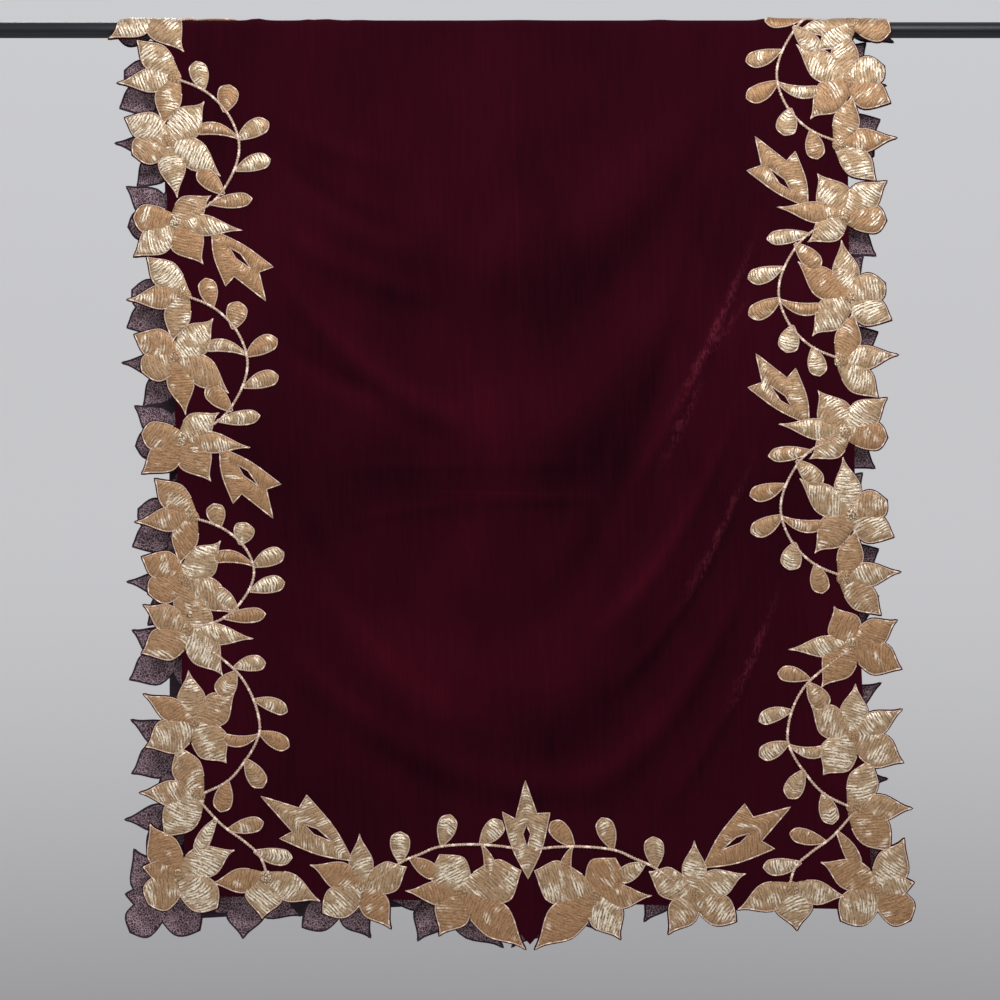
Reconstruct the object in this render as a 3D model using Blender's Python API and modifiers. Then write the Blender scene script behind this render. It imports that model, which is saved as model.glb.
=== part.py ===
"""Evening stole folded in half over a round rod.

The velvet is cut to one flat pattern, given in cloth coordinates: across (from the centre
line, positive to the right of the picture) and along (from the fold on top of the rod,
positive down the front, negative down the back).  One drape function carries every flat
point into space, so the velvet and all that is sewn on it share the same form.  The gold
border is laid out once, for the front, and turned half round for the back.
Lengths in the tables are in pattern units; UNIT is the size of one in metres.
"""
import math

import bpy
import numpy as np
from mathutils import Vector
from mathutils.geometry import delaunay_2d_cdt

UNIT = 0.0012

# Rod, in metres.
ROD_RADIUS = 0.0095
ROD_LENGTH = 1.24
ROD_SIDES = 40
ROD_EDGE_ANGLE = math.radians(40.0)

# Velvet and how it lies over the rod, in metres along the cloth.
CLOTH_THICK = 0.0018
ROD_GAP = 0.0003
BEND_RADIUS = ROD_RADIUS + ROD_GAP + CLOTH_THICK / 2
BEND_HALF = math.pi / 2 * BEND_RADIUS
BEND_STEPS = 8
SEAM_ALONG = 0.024
SEAM_GAP = 0.0003
FALL_LENGTH = 1.11
PAST_HEM = 1.3

# How the hung cloth leans: skew lets the right side down, drift carries each fall to the
# right as it goes down, narrowing is the width that the folds take up.  Stretch and lean say
# how much longer the back border runs than the front one, in all and for each unit to the left.
SKEW = 0.02
DRIFT_FRONT = 0.0301
DRIFT_BACK = 0.0060
NARROWING = 0.016
BACK_STRETCH = 1.003
BACK_LEAN = 0.000042

# The velvet inside the border, in pattern units.
PANEL_HALF_WIDTH = 344.0
PANEL_END = 888.0
HEM_POINT = 930.0
HEM_POINT_HALF = 46.0
HEM_POINT_OVERLAP = 10.0
GROUND_MARGIN = 1.5
PAST_EDGE = 460.0

# Raised embroidery, in metres.
GOLD_LIFT = 0.0006
GOLD_RIM = 0.0007
GOLD_RAISE = 0.0021
GOLD_SLOPE = 0.0060
RIDGE_CLEAR = 0.0026

# Outlines, in pattern units: the gap between neighbours, and what may be left out of them.
PIECE_GAP = 1.4
VINE_WIDTH = 3.6
GOLD_TOLERANCE = 1.16
VELVET_TOLERANCE = 1.10
SHORTEST_EDGE = 1.5
SHORT_EDGE_EASE = 0.35
CORNER_CUT = 0.4
SMALLEST_HOLE = 60.0
NEIGHBOUR_REACH = 4.0
ROW_CLEAR = 0.5
FORK_NOTCHES = (0.45, 0.36, 0.30)
FORK_SWELL = 0.53
FORK_SPREAD = 0.08
SLOT_WIDEST = 0.2
PETAL_RIDGE = 0.55
LEAF_RIDGE = 0.60
LEAF_BELLY = 0.62
LEAF_FOOT = 0.12
PETAL_FOOT = 0.5
BLADE_STATIONS = (0.0, 0.22, 0.45, 0.66, 0.83, 0.94)
POINTED_POWER = 1.45
BLUNT_POWER = 2.3
TIP_TAPER = 0.8
SHORT_SQUEEZE = 0.80

# Inner points of the velvet's mesh.
GRID_STEP = 0.058
GRID_COLUMNS = 13
GRID_SHARE = 0.97
GRID_CLEAR = 0.020

# Folds of each fall: centre = where across the swag hangs lowest, bottom = how far down, left
# and right = how steeply its two sides rise, height = how far it stands out, spread = its
# half breadth.
FRONT_FOLDS = (
    {"centre": 0.00, "bottom": 0.300, "left": 0.14, "right": 0.69, "height": 0.0028,
     "spread": 0.055},
    {"centre": -0.04, "bottom": 0.525, "left": 0.18, "right": 0.50, "height": 0.0052,
     "spread": 0.068},
    {"centre": -0.04, "bottom": 0.850, "left": 0.55, "right": 0.60, "height": 0.0060,
     "spread": 0.066},
)
BACK_FOLDS = (
    {"centre": 0.03, "bottom": 0.330, "left": 0.42, "right": 0.20, "height": 0.0034,
     "spread": 0.060},
    {"centre": 0.02, "bottom": 0.570, "left": 0.46, "right": 0.26, "height": 0.0050,
     "spread": 0.068},
    {"centre": 0.03, "bottom": 0.840, "left": 0.58, "right": 0.46, "height": 0.0056,
     "spread": 0.068},
)
FOLD_REACH = 0.42
FOLD_CURVE = 2.0
FOLD_FADE_IN = 0.24
FOLD_FULL = 0.12
FOLD_GONE = 0.29
BORDER_WAVE = 0.0016
BORDER_WAVE_LENGTH = 0.46
WAVE_START_RIGHT = 0.7
WAVE_START_LEFT = 2.1
BORDER_WAVE_NONE = 0.16
BORDER_WAVE_FULL = 0.36
HEM_KICK = 0.0040

# Petals of each flower: across and along = the tip from the flower's centre, width,
# belly = where it is widest, hook = how far the tip leans, blunt = 1 for a round end.
FLOWERS = {
    "three": (
        {"across": -33, "along": -38, "width": 29, "belly": 0.52, "hook": -0.10, "blunt": 0.3},
        {"across": -56, "along": 9, "width": 24, "belly": 0.40, "hook": 0.10, "blunt": 0.0},
        {"across": -16, "along": 49, "width": 26, "belly": 0.45, "hook": -0.10, "blunt": 0.0},
    ),
    "open": (
        {"across": -36, "along": -27, "width": 31, "belly": 0.55, "hook": -0.25, "blunt": 0.4},
        {"across": -33, "along": 18, "width": 30, "belly": 0.58, "hook": 0.12, "blunt": 0.9},
        {"across": 9, "along": 57, "width": 27, "belly": 0.45, "hook": 0.05, "blunt": 0.0},
        {"across": 56, "along": 27, "width": 30, "belly": 0.50, "hook": 0.30, "blunt": 0.0},
        {"across": 43, "along": -34, "width": 32, "belly": 0.50, "hook": -0.20, "blunt": 0.0},
    ),
    "long": (
        {"across": 33, "along": -31, "width": 28, "belly": 0.45, "hook": 0.20, "blunt": 0.0},
        {"across": 67, "along": 6, "width": 21, "belly": 0.40, "hook": 0.05, "blunt": 0.0},
        {"across": 23, "along": 43, "width": 35, "belly": 0.45, "hook": -0.10, "blunt": 0.0},
        {"across": -40, "along": 38, "width": 30, "belly": 0.50, "hook": 0.15, "blunt": 0.2},
        {"across": -42, "along": -4, "width": 28, "belly": 0.60, "hook": 0.0, "blunt": 1.0},
    ),
    "fold": (
        {"across": 34, "along": -34, "width": 27, "belly": 0.45, "hook": 0.15, "blunt": 0.0},
        {"across": 58, "along": -12, "width": 20, "belly": 0.42, "hook": 0.0, "blunt": 0.0},
        {"across": 27, "along": 46, "width": 36, "belly": 0.42, "hook": -0.10, "blunt": 0.0},
        {"across": -38, "along": 38, "width": 29, "belly": 0.45, "hook": 0.30, "blunt": 0.0},
        {"across": -38, "along": -10, "width": 28, "belly": 0.60, "hook": 0.0, "blunt": 0.9},
    ),
    "turn": (
        {"across": 20, "along": -36, "width": 35, "belly": 0.48, "hook": -0.05, "blunt": 0.0},
        {"across": 66, "along": 8, "width": 21, "belly": 0.42, "hook": -0.05, "blunt": 0.0},
        {"across": 37, "along": 42, "width": 34, "belly": 0.45, "hook": 0.10, "blunt": 0.0},
        {"across": -44, "along": 28, "width": 34, "belly": 0.55, "hook": 0.15, "blunt": 0.2},
        {"across": -44, "along": -24, "width": 27, "belly": 0.50, "hook": 0.0, "blunt": 0.0},
    ),
    "side": (
        {"across": -5, "along": -52, "width": 28, "belly": 0.45, "hook": 0.0, "blunt": 0.0},
        {"across": 44, "along": -25, "width": 32, "belly": 0.55, "hook": -0.20, "blunt": 0.1},
        {"across": 33, "along": 38, "width": 36, "belly": 0.55, "hook": 0.05, "blunt": 0.1},
        {"across": -47, "along": 28, "width": 35, "belly": 0.55, "hook": 0.10, "blunt": 0.1},
        {"across": -50, "along": -27, "width": 24, "belly": 0.45, "hook": 0.0, "blunt": 0.0},
    ),
    "bract": (
        {"across": -20, "along": -50, "width": 30, "belly": 0.50, "hook": 0.0, "blunt": 0.1},
        {"across": -57, "along": 0, "width": 26, "belly": 0.45, "hook": 0.0, "blunt": 0.0},
        {"across": -33, "along": 42, "width": 36, "belly": 0.50, "hook": 0.0, "blunt": 0.5},
    ),
    "corner": (
        {"across": -33, "along": -48, "width": 34, "belly": 0.50, "hook": 0.15, "blunt": 0.1},
        {"across": 52, "along": -32, "width": 32, "belly": 0.50, "hook": 0.20, "blunt": 0.0},
        {"across": -31, "along": 29, "width": 34, "belly": 0.60, "hook": 0.0, "blunt": 1.0},
        {"across": 37, "along": 31, "width": 36, "belly": 0.60, "hook": 0.0, "blunt": 0.7},
        {"across": -36, "along": -8, "width": 22, "belly": 0.50, "hook": 0.0, "blunt": 0.4},
    ),
    "hem_three": (
        {"across": -54, "along": 6, "width": 24, "belly": 0.45, "hook": 0.0, "blunt": 0.0},
        {"across": -4, "along": 40, "width": 37, "belly": 0.45, "hook": 0.0, "blunt": 0.1},
        {"across": 55, "along": 19, "width": 28, "belly": 0.42, "hook": 0.10, "blunt": 0.0},
    ),
    "hem_five": (
        {"across": -2, "along": -53, "width": 24, "belly": 0.45, "hook": 0.0, "blunt": 0.0},
        {"across": -50, "along": -25, "width": 28, "belly": 0.45, "hook": -0.15, "blunt": 0.0},
        {"across": 46, "along": -17, "width": 30, "belly": 0.60, "hook": -0.15, "blunt": 0.2},
        {"across": -40, "along": 26, "width": 32, "belly": 0.58, "hook": 0.0, "blunt": 0.6},
        {"across": 27, "along": 40, "width": 29, "belly": 0.45, "hook": 0.0, "blunt": 0.0},
    ),
    "hem_wide": (
        {"across": -22, "along": -38, "width": 40, "belly": 0.62, "hook": 0.0, "blunt": 0.4},
        {"across": -57, "along": 1, "width": 24, "belly": 0.42, "hook": 0.10, "blunt": 0.0},
        {"across": -24, "along": 42, "width": 35, "belly": 0.48, "hook": 0.0, "blunt": 0.0},
        {"across": 61, "along": -18, "width": 42, "belly": 0.66, "hook": -0.15, "blunt": 0.3},
        {"across": 64, "along": 50, "width": 36, "belly": 0.50, "hook": 0.15, "blunt": 0.0},
    ),
}

# A vine is a row of points; a leaf runs from its root on the vine to its end, and bend
# curves it sideways; a fork has a foot, three prong tips and a slot.
SIDE_VINE = ((-4, 0), (28, 13), (50, 35), (60, 61), (57, 85), (43, 111), (26, 128), (2, 138))
SIDE_LEAVES = (
    {"root": (27, 13), "end": (21, -16), "width": 18, "bend": 0.0},
    {"root": (47, 34), "end": (54, 7), "width": 20, "bend": 0.0},
    {"root": (59, 61), "end": (91, 43), "width": 17, "bend": -0.04},
    {"root": (60, 60), "end": (15, 54), "width": 12, "bend": 0.14},
    {"root": (56, 92), "end": (91, 80), "width": 16, "bend": -0.04},
    {"root": (43, 116), "end": (18, 92), "width": 18, "bend": 0.0},
    {"root": (28, 126), "end": (71, 120), "width": 14, "bend": 0.0},
)
SIDE_FORK = {
    "foot": (29, 152), "tips": ((90, 188), (81, 222), (41, 208)),
    "slot": (57, 180), "slot_along": (22, 22), "slot_width": 7.0,
}
LOWER_VINE = (
    (2, 4), (27, 22), (51, 43), (65, 67), (71, 92), (68, 108), (57, 127), (37, 150), (4, 166),
)
LOWER_LEAVES = (
    {"root": (46, 36), "end": (78, 31), "width": 15, "bend": -0.05},
    {"root": (48, 40), "end": (31, 65), "width": 20, "bend": 0.0},
    {"root": (65, 68), "end": (99, 79), "width": 14, "bend": -0.05},
    {"root": (70, 100), "end": (100, 114), "width": 16, "bend": 0.0},
    {"root": (70, 102), "end": (29, 104), "width": 11, "bend": -0.16},
    {"root": (56, 127), "end": (73, 155), "width": 18, "bend": 0.0},
    {"root": (38, 149), "end": (30, 180), "width": 18, "bend": 0.0},
)
CORNER_VINE = ((-2, 2), (23, 29), (46, 46), (62, 61), (70, 84))
CORNER_LEAVES = (
    {"root": (19, 24), "end": (-1, 63), "width": 14, "bend": 0.05},
    {"root": (30, 35), "end": (66, 27), "width": 15, "bend": 0.0},
    {"root": (56, 56), "end": (94, 62), "width": 16, "bend": 0.04},
)
HEM_FORK = {
    "foot": (-9, -26), "tips": ((-54, -91), (-100, -89), (-82, -47)),
    "slot": (-43, -53), "slot_along": (30, 18), "slot_width": 7.0,
}
HEM_VINE = ((8, -4), (38, -25), (58, -34), (78, -42), (108, -45), (138, -44), (158, -41))
HEM_LEAVES = (
    {"root": (38, -25), "end": (39, -56), "width": 19, "bend": 0.0},
    {"root": (48, -30), "end": (76, -13), "width": 16, "bend": 0.0},
    {"root": (80, -43), "end": (90, -74), "width": 18, "bend": 0.0},
    {"root": (119, -45), "end": (141, -69), "width": 18, "bend": 0.0},
    {"root": (121, -44), "end": (124, -2), "width": 12, "bend": -0.14},
)
CENTRE_FORK = {
    "foot": (0, 6), "tips": ((24, -60), (0, -92), (-24, -60)),
    "slot": (0, -36), "slot_along": (0, 24), "slot_width": 8.0,
}

# Units of the front border, each one solid: across and along = where the unit starts,
# turn = True for a half turn, mirror = True for the right-hand copy of a left-hand unit.
UNITS = (
    {"name": "fold_flower_left", "kind": "fold", "across": -350, "along": 0,
     "turn": False, "mirror": False},
    {"name": "spray_left_upper", "kind": "spray", "across": -329, "along": 70,
     "turn": False, "mirror": False},
    {"name": "spray_left_middle", "kind": "spray", "across": -329, "along": 287,
     "turn": False, "mirror": False},
    {"name": "turn_spray_left", "kind": "lower", "across": -337, "along": 623,
     "turn": False, "mirror": False},
    {"name": "spray_left_lower", "kind": "short", "across": -329, "along": 509,
     "turn": False, "mirror": False},
    {"name": "corner_flower_left", "kind": "corner", "across": -349, "along": 868,
     "turn": False, "mirror": False},
    {"name": "corner_spray_left", "kind": "corner_spray", "across": -330, "along": 786,
     "turn": False, "mirror": False},
    {"name": "spray_right_upper", "kind": "crossing", "across": 334, "along": 123,
     "turn": True, "mirror": False},
    {"name": "spray_right_middle", "kind": "spray", "across": 332, "along": 340,
     "turn": True, "mirror": False},
    {"name": "spray_right_lower", "kind": "spray", "across": 328, "along": 557,
     "turn": True, "mirror": False},
    {"name": "turn_spray_right", "kind": "lower", "across": -337, "along": 623,
     "turn": False, "mirror": True},
    {"name": "corner_flower_right", "kind": "corner", "across": -349, "along": 868,
     "turn": False, "mirror": True},
    {"name": "corner_spray_right", "kind": "corner_spray", "across": -330, "along": 786,
     "turn": False, "mirror": True},
    {"name": "hem_flower_left", "kind": "hem_wide", "across": -66, "along": 880,
     "turn": False, "mirror": False},
    {"name": "hem_flower_right", "kind": "hem_wide", "across": -66, "along": 880,
     "turn": False, "mirror": True},
    {"name": "hem_fork_centre", "kind": "centre", "across": 0, "along": 858,
     "turn": False, "mirror": False},
    {"name": "hem_spray_left", "kind": "hem", "across": -166, "along": 876,
     "turn": False, "mirror": False},
    {"name": "hem_spray_right", "kind": "hem", "across": -166, "along": 876,
     "turn": False, "mirror": True},
)


def step(value, low, high):
    """Smooth rise from 0 at low to 1 at high."""
    t = min(1.0, max(0.0, (value - low) / (high - low)))
    return t * t * (3.0 - 2.0 * t)


def stand_out(across, along):
    """How far a fall stands out from its flat hang, at one cloth point."""
    down = abs(along)
    folds = FRONT_FOLDS if along > 0 else BACK_FOLDS
    total = 0.0
    for fold in folds:
        edge = abs(across - fold["centre"]) / FOLD_REACH
        steep = fold["left"] if across < fold["centre"] else fold["right"]
        line = fold["bottom"] - steep * edge ** FOLD_CURVE
        away = (down - line) / fold["spread"]
        total += fold["height"] * math.exp(-away * away)
    total *= 1.0 - step(abs(across), FOLD_FULL, FOLD_GONE)
    start = WAVE_START_RIGHT if across > 0 else WAVE_START_LEFT
    wave = math.sin(2.0 * math.pi * down / BORDER_WAVE_LENGTH + start)
    total += BORDER_WAVE * (1.0 + wave) * step(abs(across), BORDER_WAVE_NONE, BORDER_WAVE_FULL)
    total += HEM_KICK * (down / FALL_LENGTH) ** 2
    return total * step(down, BEND_HALF, BEND_HALF + FOLD_FADE_IN)


def drape(across, along):
    """The middle of the cloth at one cloth point, in space."""
    if abs(along) <= BEND_HALF:
        turn = along / BEND_RADIUS
        y = -BEND_RADIUS * math.sin(turn)
        z = BEND_RADIUS * math.cos(turn)
    else:
        side = 1.0 if along > 0 else -1.0
        y = -side * (BEND_RADIUS + stand_out(across, along))
        z = BEND_HALF - abs(along)
    narrow = 1.0 - NARROWING * math.sin(math.pi * min(1.0, abs(along) / FALL_LENGTH))
    drift = (DRIFT_FRONT if along > 0 else DRIFT_BACK) * abs(along)
    return Vector((across * narrow + drift, y, z))


def drape_out(across, along, lift):
    """A cloth point moved out from the middle of the cloth by lift."""
    d = 0.0005
    sideways = drape(across + d, along) - drape(across - d, along)
    lengthways = drape(across, along + d) - drape(across, along - d)
    normal = lengthways.cross(sideways).normalized()
    return drape(across, along) + normal * lift


def blade(root, end, width, belly, hook, blunt, foot=PETAL_FOOT, bend=0.0, grow=0.0):
    """Outline of a petal or leaf from its root to its end, in pattern units."""
    root = np.array(root, float)
    end = np.array(end, float)
    axis = end - root
    length = float(np.hypot(*axis))
    axis /= length
    side = np.array((-axis[1], axis[0]))
    power = POINTED_POWER + BLUNT_POWER * blunt
    left = []
    right = []
    for t in BLADE_STATIONS:
        if t < belly:
            half = foot + (1.0 - foot) * math.sin(t / belly * math.pi / 2)
        else:
            past = (t - belly) / (1.0 - belly)
            round_end = 1.0 - past ** power
            drawn_out = 0.5 + 0.5 * math.cos(math.pi * past)
            half = round_end + (drawn_out - round_end) * TIP_TAPER * (1.0 - blunt)
        half = half * width / 2 + grow
        shift = hook * width * t ** 3 + bend * length * 4.0 * t * (1.0 - t)
        middle = root + axis * (length + grow) * t + side * shift
        left.append(middle + side * half)
        right.append(middle - side * half)
    tip = root + axis * (length + 1.6 * grow) + side * hook * width
    return left + [tip] + right[::-1]


def ribbon(points, width):
    """Outline of a vine: a band of even width along a row of points."""
    points = [np.array(p, float) for p in points]
    left = []
    right = []
    for i, p in enumerate(points):
        ahead = points[min(i + 1, len(points) - 1)] - points[max(i - 1, 0)]
        ahead /= np.hypot(*ahead)
        side = np.array((-ahead[1], ahead[0])) * width / 2
        left.append(p + side)
        right.append(p - side)
    return left + right[::-1]


def fork(row):
    """Outline of a forked leaf and of the slot in it."""
    foot = np.array(row["foot"], float)
    first, middle, last = (np.array(t, float) - foot for t in row["tips"])
    side_share, deep, shallow = FORK_NOTCHES
    notch_one = side_share * first + deep * middle
    notch_two = side_share * last + shallow * middle
    swell_one = FORK_SWELL * first - FORK_SPREAD * last
    swell_two = FORK_SWELL * last - FORK_SPREAD * first
    outline = [foot, foot + swell_one, foot + first, foot + notch_one, foot + middle]
    outline += [foot + notch_two, foot + last, foot + swell_two]
    centre = np.array(row["slot"], float)
    along = np.array(row["slot_along"], float) / 2
    side = np.array((-along[1], along[0])) / np.hypot(*along) * row["slot_width"] / 2
    widest = centre - along * SLOT_WIDEST
    slot = [centre - along, widest + side, centre + along, widest - side]
    return outline, slot


def place(points, unit):
    """Points of a unit moved to where the unit starts."""
    start = np.array((unit["across"], unit["along"]), float)
    placed = []
    for p in points:
        p = start - np.array(p, float) if unit["turn"] else start + np.array(p, float)
        if unit["mirror"]:
            p = np.array((-p[0], p[1]))
        placed.append(p)
    return placed


def flower(kind, centre, unit, shapes):
    """Adds the petals of one flower to a unit's shapes."""
    centre = np.array(centre, float)
    for row in FLOWERS[kind]:
        end = centre + np.array((row["across"], row["along"]), float)
        numbers = (row["width"], row["belly"], row["hook"], row["blunt"])
        shapes["gold"].append(place(blade(centre, end, *numbers), unit))
        shapes["ground"].append(place(blade(centre, end, *numbers, grow=GROUND_MARGIN), unit))
        hooked = row["hook"] * row["width"] * PETAL_RIDGE ** 3
        axis = (end - centre) / np.hypot(*(end - centre))
        spot = centre + (end - centre) * PETAL_RIDGE + np.array((-axis[1], axis[0])) * hooked
        shapes["ridge"] += place([spot], unit)
    shapes["ridge"] += place([centre], unit)


def foliage(vine, leaves, unit, shapes, squeeze=1.0):
    """Adds a vine and its leaves to a unit's shapes."""
    vine = [(p[0], p[1] * squeeze) for p in vine]
    shapes["gold"].append(place(ribbon(vine, VINE_WIDTH), unit))
    for row in leaves:
        root = np.array((row["root"][0], row["root"][1] * squeeze))
        end = np.array((row["end"][0], row["end"][1] * squeeze))
        leaf = blade(root, end, row["width"], LEAF_BELLY, 0.0, 1.0, foot=LEAF_FOOT, bend=row["bend"])
        shapes["gold"].append(place(leaf, unit))
        axis = end - root
        side = np.array((-axis[1], axis[0]))
        bent = row["bend"] * 4.0 * LEAF_RIDGE * (1.0 - LEAF_RIDGE)
        shapes["ridge"] += place([root + axis * LEAF_RIDGE + side * bent], unit)


def forked(row, unit, shapes):
    """Adds a forked leaf to a unit's shapes."""
    outline, slot = fork(row)
    shapes["gold"].append(place(outline, unit))
    shapes["slots"].append(place(slot, unit))


def unit_shapes(unit):
    """All flat shapes of one unit of the border."""
    shapes = {"gold": [], "ground": [], "slots": [], "ridge": []}
    kind = unit["kind"]
    if kind in ("spray", "short", "crossing"):
        squeeze = SHORT_SQUEEZE if kind == "short" else 1.0
        flower("three", (-2, 0), unit, shapes)
        flower("open", (-12, 63), unit, shapes)
        foliage(SIDE_VINE, SIDE_LEAVES, unit, shapes, squeeze)
        if kind == "spray":
            flower("long", (-7, 145), unit, shapes)
            forked(SIDE_FORK, unit, shapes)
    if kind == "fold":
        flower("fold", (0, 0), unit, shapes)
    if kind == "lower":
        flower("turn", (0, 0), unit, shapes)
        flower("side", (5, 92), unit, shapes)
        flower("bract", (7, 163), unit, shapes)
        foliage(LOWER_VINE, LOWER_LEAVES, unit, shapes)
    if kind == "corner":
        flower("corner", (0, 0), unit, shapes)
    if kind == "corner_spray":
        flower("hem_three", (67, 83), unit, shapes)
        foliage(CORNER_VINE, CORNER_LEAVES, unit, shapes)
    if kind == "hem":
        flower("hem_five", (0, 0), unit, shapes)
        foliage(HEM_VINE, HEM_LEAVES, unit, shapes)
        forked(HEM_FORK, unit, shapes)
    if kind == "hem_wide":
        flower("hem_wide", (0, 0), unit, shapes)
    if kind == "centre":
        forked(CENTRE_FORK, unit, shapes)
        shapes["ridge"] += place([(0, -62)], unit)
    return shapes


def inside(points, polygon):
    """Which of the points lie inside a polygon."""
    polygon = np.asarray(polygon)
    x = points[:, 0]
    y = points[:, 1]
    found = np.zeros(len(points), bool)
    ahead = np.roll(polygon, -1, axis=0)
    for (x0, y0), (x1, y1) in zip(polygon, ahead):
        if y0 == y1:
            continue
        crosses = (y0 > y) != (y1 > y)
        found ^= crosses & (x < (x1 - x0) * (y - y0) / (y1 - y0) + x0)
    return found


def away(points, loops):
    """Distance of each point to the nearest edge of the loops."""
    best = np.full(len(points), 1e9)
    for loop in loops:
        loop = np.asarray(loop)
        for a, b in zip(loop, np.roll(loop, -1, axis=0)):
            edge = b - a
            t = np.clip(((points - a) @ edge) / max(1e-12, float(edge @ edge)), 0.0, 1.0)
            near = a + t[:, None] * edge
            best = np.minimum(best, np.hypot(*(points - near).T))
    return best


def triangulate(loops, extra_points=(), lines=()):
    """Triangles over the given loops, with extra points and lines kept as edges."""
    verts = []
    edges = []
    for loop in loops:
        first = len(verts)
        verts += [Vector((float(p[0]), float(p[1]))) for p in loop]
        edges += [(first + i, first + (i + 1) % len(loop)) for i in range(len(loop))]
    for p in extra_points:
        verts.append(Vector((float(p[0]), float(p[1]))))
    for a, b in lines:
        verts += [Vector(a), Vector(b)]
        edges.append((len(verts) - 2, len(verts) - 1))
    out = delaunay_2d_cdt(verts, edges, [], 0, 1e-5)
    points = np.array([(v.x, v.y) for v in out[0]])
    faces = np.array(out[2])
    return points, faces


def area_of(loop):
    """Signed area of a loop."""
    loop = np.asarray(loop)
    ahead = np.roll(loop, -1, axis=0)
    return 0.5 * float(np.sum(loop[:, 0] * ahead[:, 1] - ahead[:, 0] * loop[:, 1]))


def border_loops(points, faces):
    """The closed loops round a set of triangles, outer ones counter-clockwise."""
    seen = set()
    for face in faces:
        for i in range(3):
            seen.add((int(face[i]), int(face[(i + 1) % 3])))
    follow = {}
    for a, b in seen:
        if (b, a) not in seen:
            follow.setdefault(a, []).append(b)
    loops = []
    while follow:
        start = next(iter(follow))
        loop = [start]
        current = start
        before = None
        while True:
            choices = follow[current]
            nxt = choices[0]
            if len(choices) > 1 and before is not None:
                nxt = sharpest(points, before, current, choices)
            choices.remove(nxt)
            if not choices:
                del follow[current]
            if nxt == start:
                break
            loop.append(nxt)
            before = current
            current = nxt
        loops.append(points[loop])
    return loops


def sharpest(points, before, current, choices):
    """At a point where two loops touch, the way that keeps each loop apart."""
    back = points[before] - points[current]
    base = math.atan2(back[1], back[0])
    best = None
    for nxt in choices:
        ahead = points[nxt] - points[current]
        turn = (base - math.atan2(ahead[1], ahead[0])) % (2.0 * math.pi)
        if best is None or turn < best[0]:
            best = (turn, nxt)
    return best[1]


def thin_out(loop, tolerance):
    """A loop with the points left out that hardly change it."""
    points = [np.array(p) for p in loop]
    changed = True
    while changed and len(points) > 4:
        changed = False
        worst = None
        for i in range(len(points)):
            a = points[i - 1]
            b = points[i]
            c = points[(i + 1) % len(points)]
            base = np.hypot(*(c - a))
            if base < 1e-9:
                cost = 0.0
            else:
                cost = abs((c[0] - a[0]) * (b[1] - a[1]) - (c[1] - a[1]) * (b[0] - a[0])) / base
            short = min(np.hypot(*(b - a)), np.hypot(*(c - b)))
            if short < SHORTEST_EDGE:
                cost *= SHORT_EDGE_EASE
            if worst is None or cost < worst[0]:
                worst = (cost, i)
        if worst[0] < tolerance:
            points.pop(worst[1])
            changed = True
    return np.array(points)


def union(own, without, tolerance, lines=(), window=None):
    """Loops round all own polygons less the others, thinned out; the largest piece only."""
    points, faces = triangulate(own + without, lines=lines)
    middles = points[faces].mean(axis=1)
    keep = np.zeros(len(faces), bool)
    for polygon in own:
        keep |= inside(middles, polygon)
    for polygon in without:
        keep &= ~inside(middles, polygon)
    if window is not None:
        keep &= (middles[:, 1] > window[0]) & (middles[:, 1] < window[1])
    loops = border_loops(points, faces[keep])
    outer = max(loops, key=area_of)
    holes = [loop for loop in loops if area_of(loop) < -SMALLEST_HOLE]
    holes = [hole for hole in holes if inside(hole[:1], outer)[0]]
    return [thin_out(outer, tolerance)] + [thin_out(hole, tolerance) for hole in holes]


def grown(loop, distance):
    """A loop moved out by a distance, its sharpest corners cut short."""
    loop = np.asarray(loop)
    before = loop - np.roll(loop, 1, axis=0)
    after = np.roll(loop, -1, axis=0) - loop
    before /= np.hypot(*before.T)[:, None]
    after /= np.hypot(*after.T)[:, None]
    out_before = np.stack((before[:, 1], -before[:, 0]), axis=1)
    out_after = np.stack((after[:, 1], -after[:, 0]), axis=1)
    bisector = out_before + out_after
    size = np.hypot(*bisector.T)
    bisector /= np.maximum(size, CORNER_CUT)[:, None]
    reach = distance / np.maximum(CORNER_CUT, (bisector * out_after).sum(axis=1))
    return loop + bisector * reach[:, None]


def skewed(polygon):
    """Cloth pattern points with the lean that the hung cloth takes, still in pattern units."""
    return [np.array((p[0], p[1] + SKEW * p[0])) for p in polygon]


def sheet(name, points, faces, lifts, solid):
    """One sewn piece: a sheet on the draped cloth, given its thickness by Solidify."""
    verts = [drape_out(p[0] * UNIT, p[1] * UNIT, lifts) for p in points]
    mesh = bpy.data.meshes.new(name)
    mesh.from_pydata(verts, [], [tuple(int(i) for i in reversed(f)) for f in faces])
    mesh.validate()
    mesh.update()
    item = bpy.data.objects.new(name, mesh)
    shell = item.modifiers.new("cloth", "SOLIDIFY")
    shell.thickness = solid["thickness"]
    shell.offset = solid["offset"]
    shell.use_even_offset = solid["even"]
    shell.use_quality_normals = True
    if solid["weights"] is not None:
        group = item.vertex_groups.new(name="raise")
        for i, weight in enumerate(solid["weights"]):
            group.add([i], float(weight), "REPLACE")
        shell.vertex_group = "raise"
    return item


def bend_lines(points):
    """The rows across a piece where it bends over the rod."""
    low = points[:, 1].min()
    high = points[:, 1].max()
    left = points[:, 0].min() - NEIGHBOUR_REACH
    right = points[:, 0].max() + NEIGHBOUR_REACH
    rows = []
    for i in range(BEND_STEPS + 1):
        row = (-BEND_HALF + 2.0 * BEND_HALF * i / BEND_STEPS) / UNIT
        if low + ROW_CLEAR < row < high - ROW_CLEAR:
            rows.append(((left, row), (right, row)))
    return rows


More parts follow.
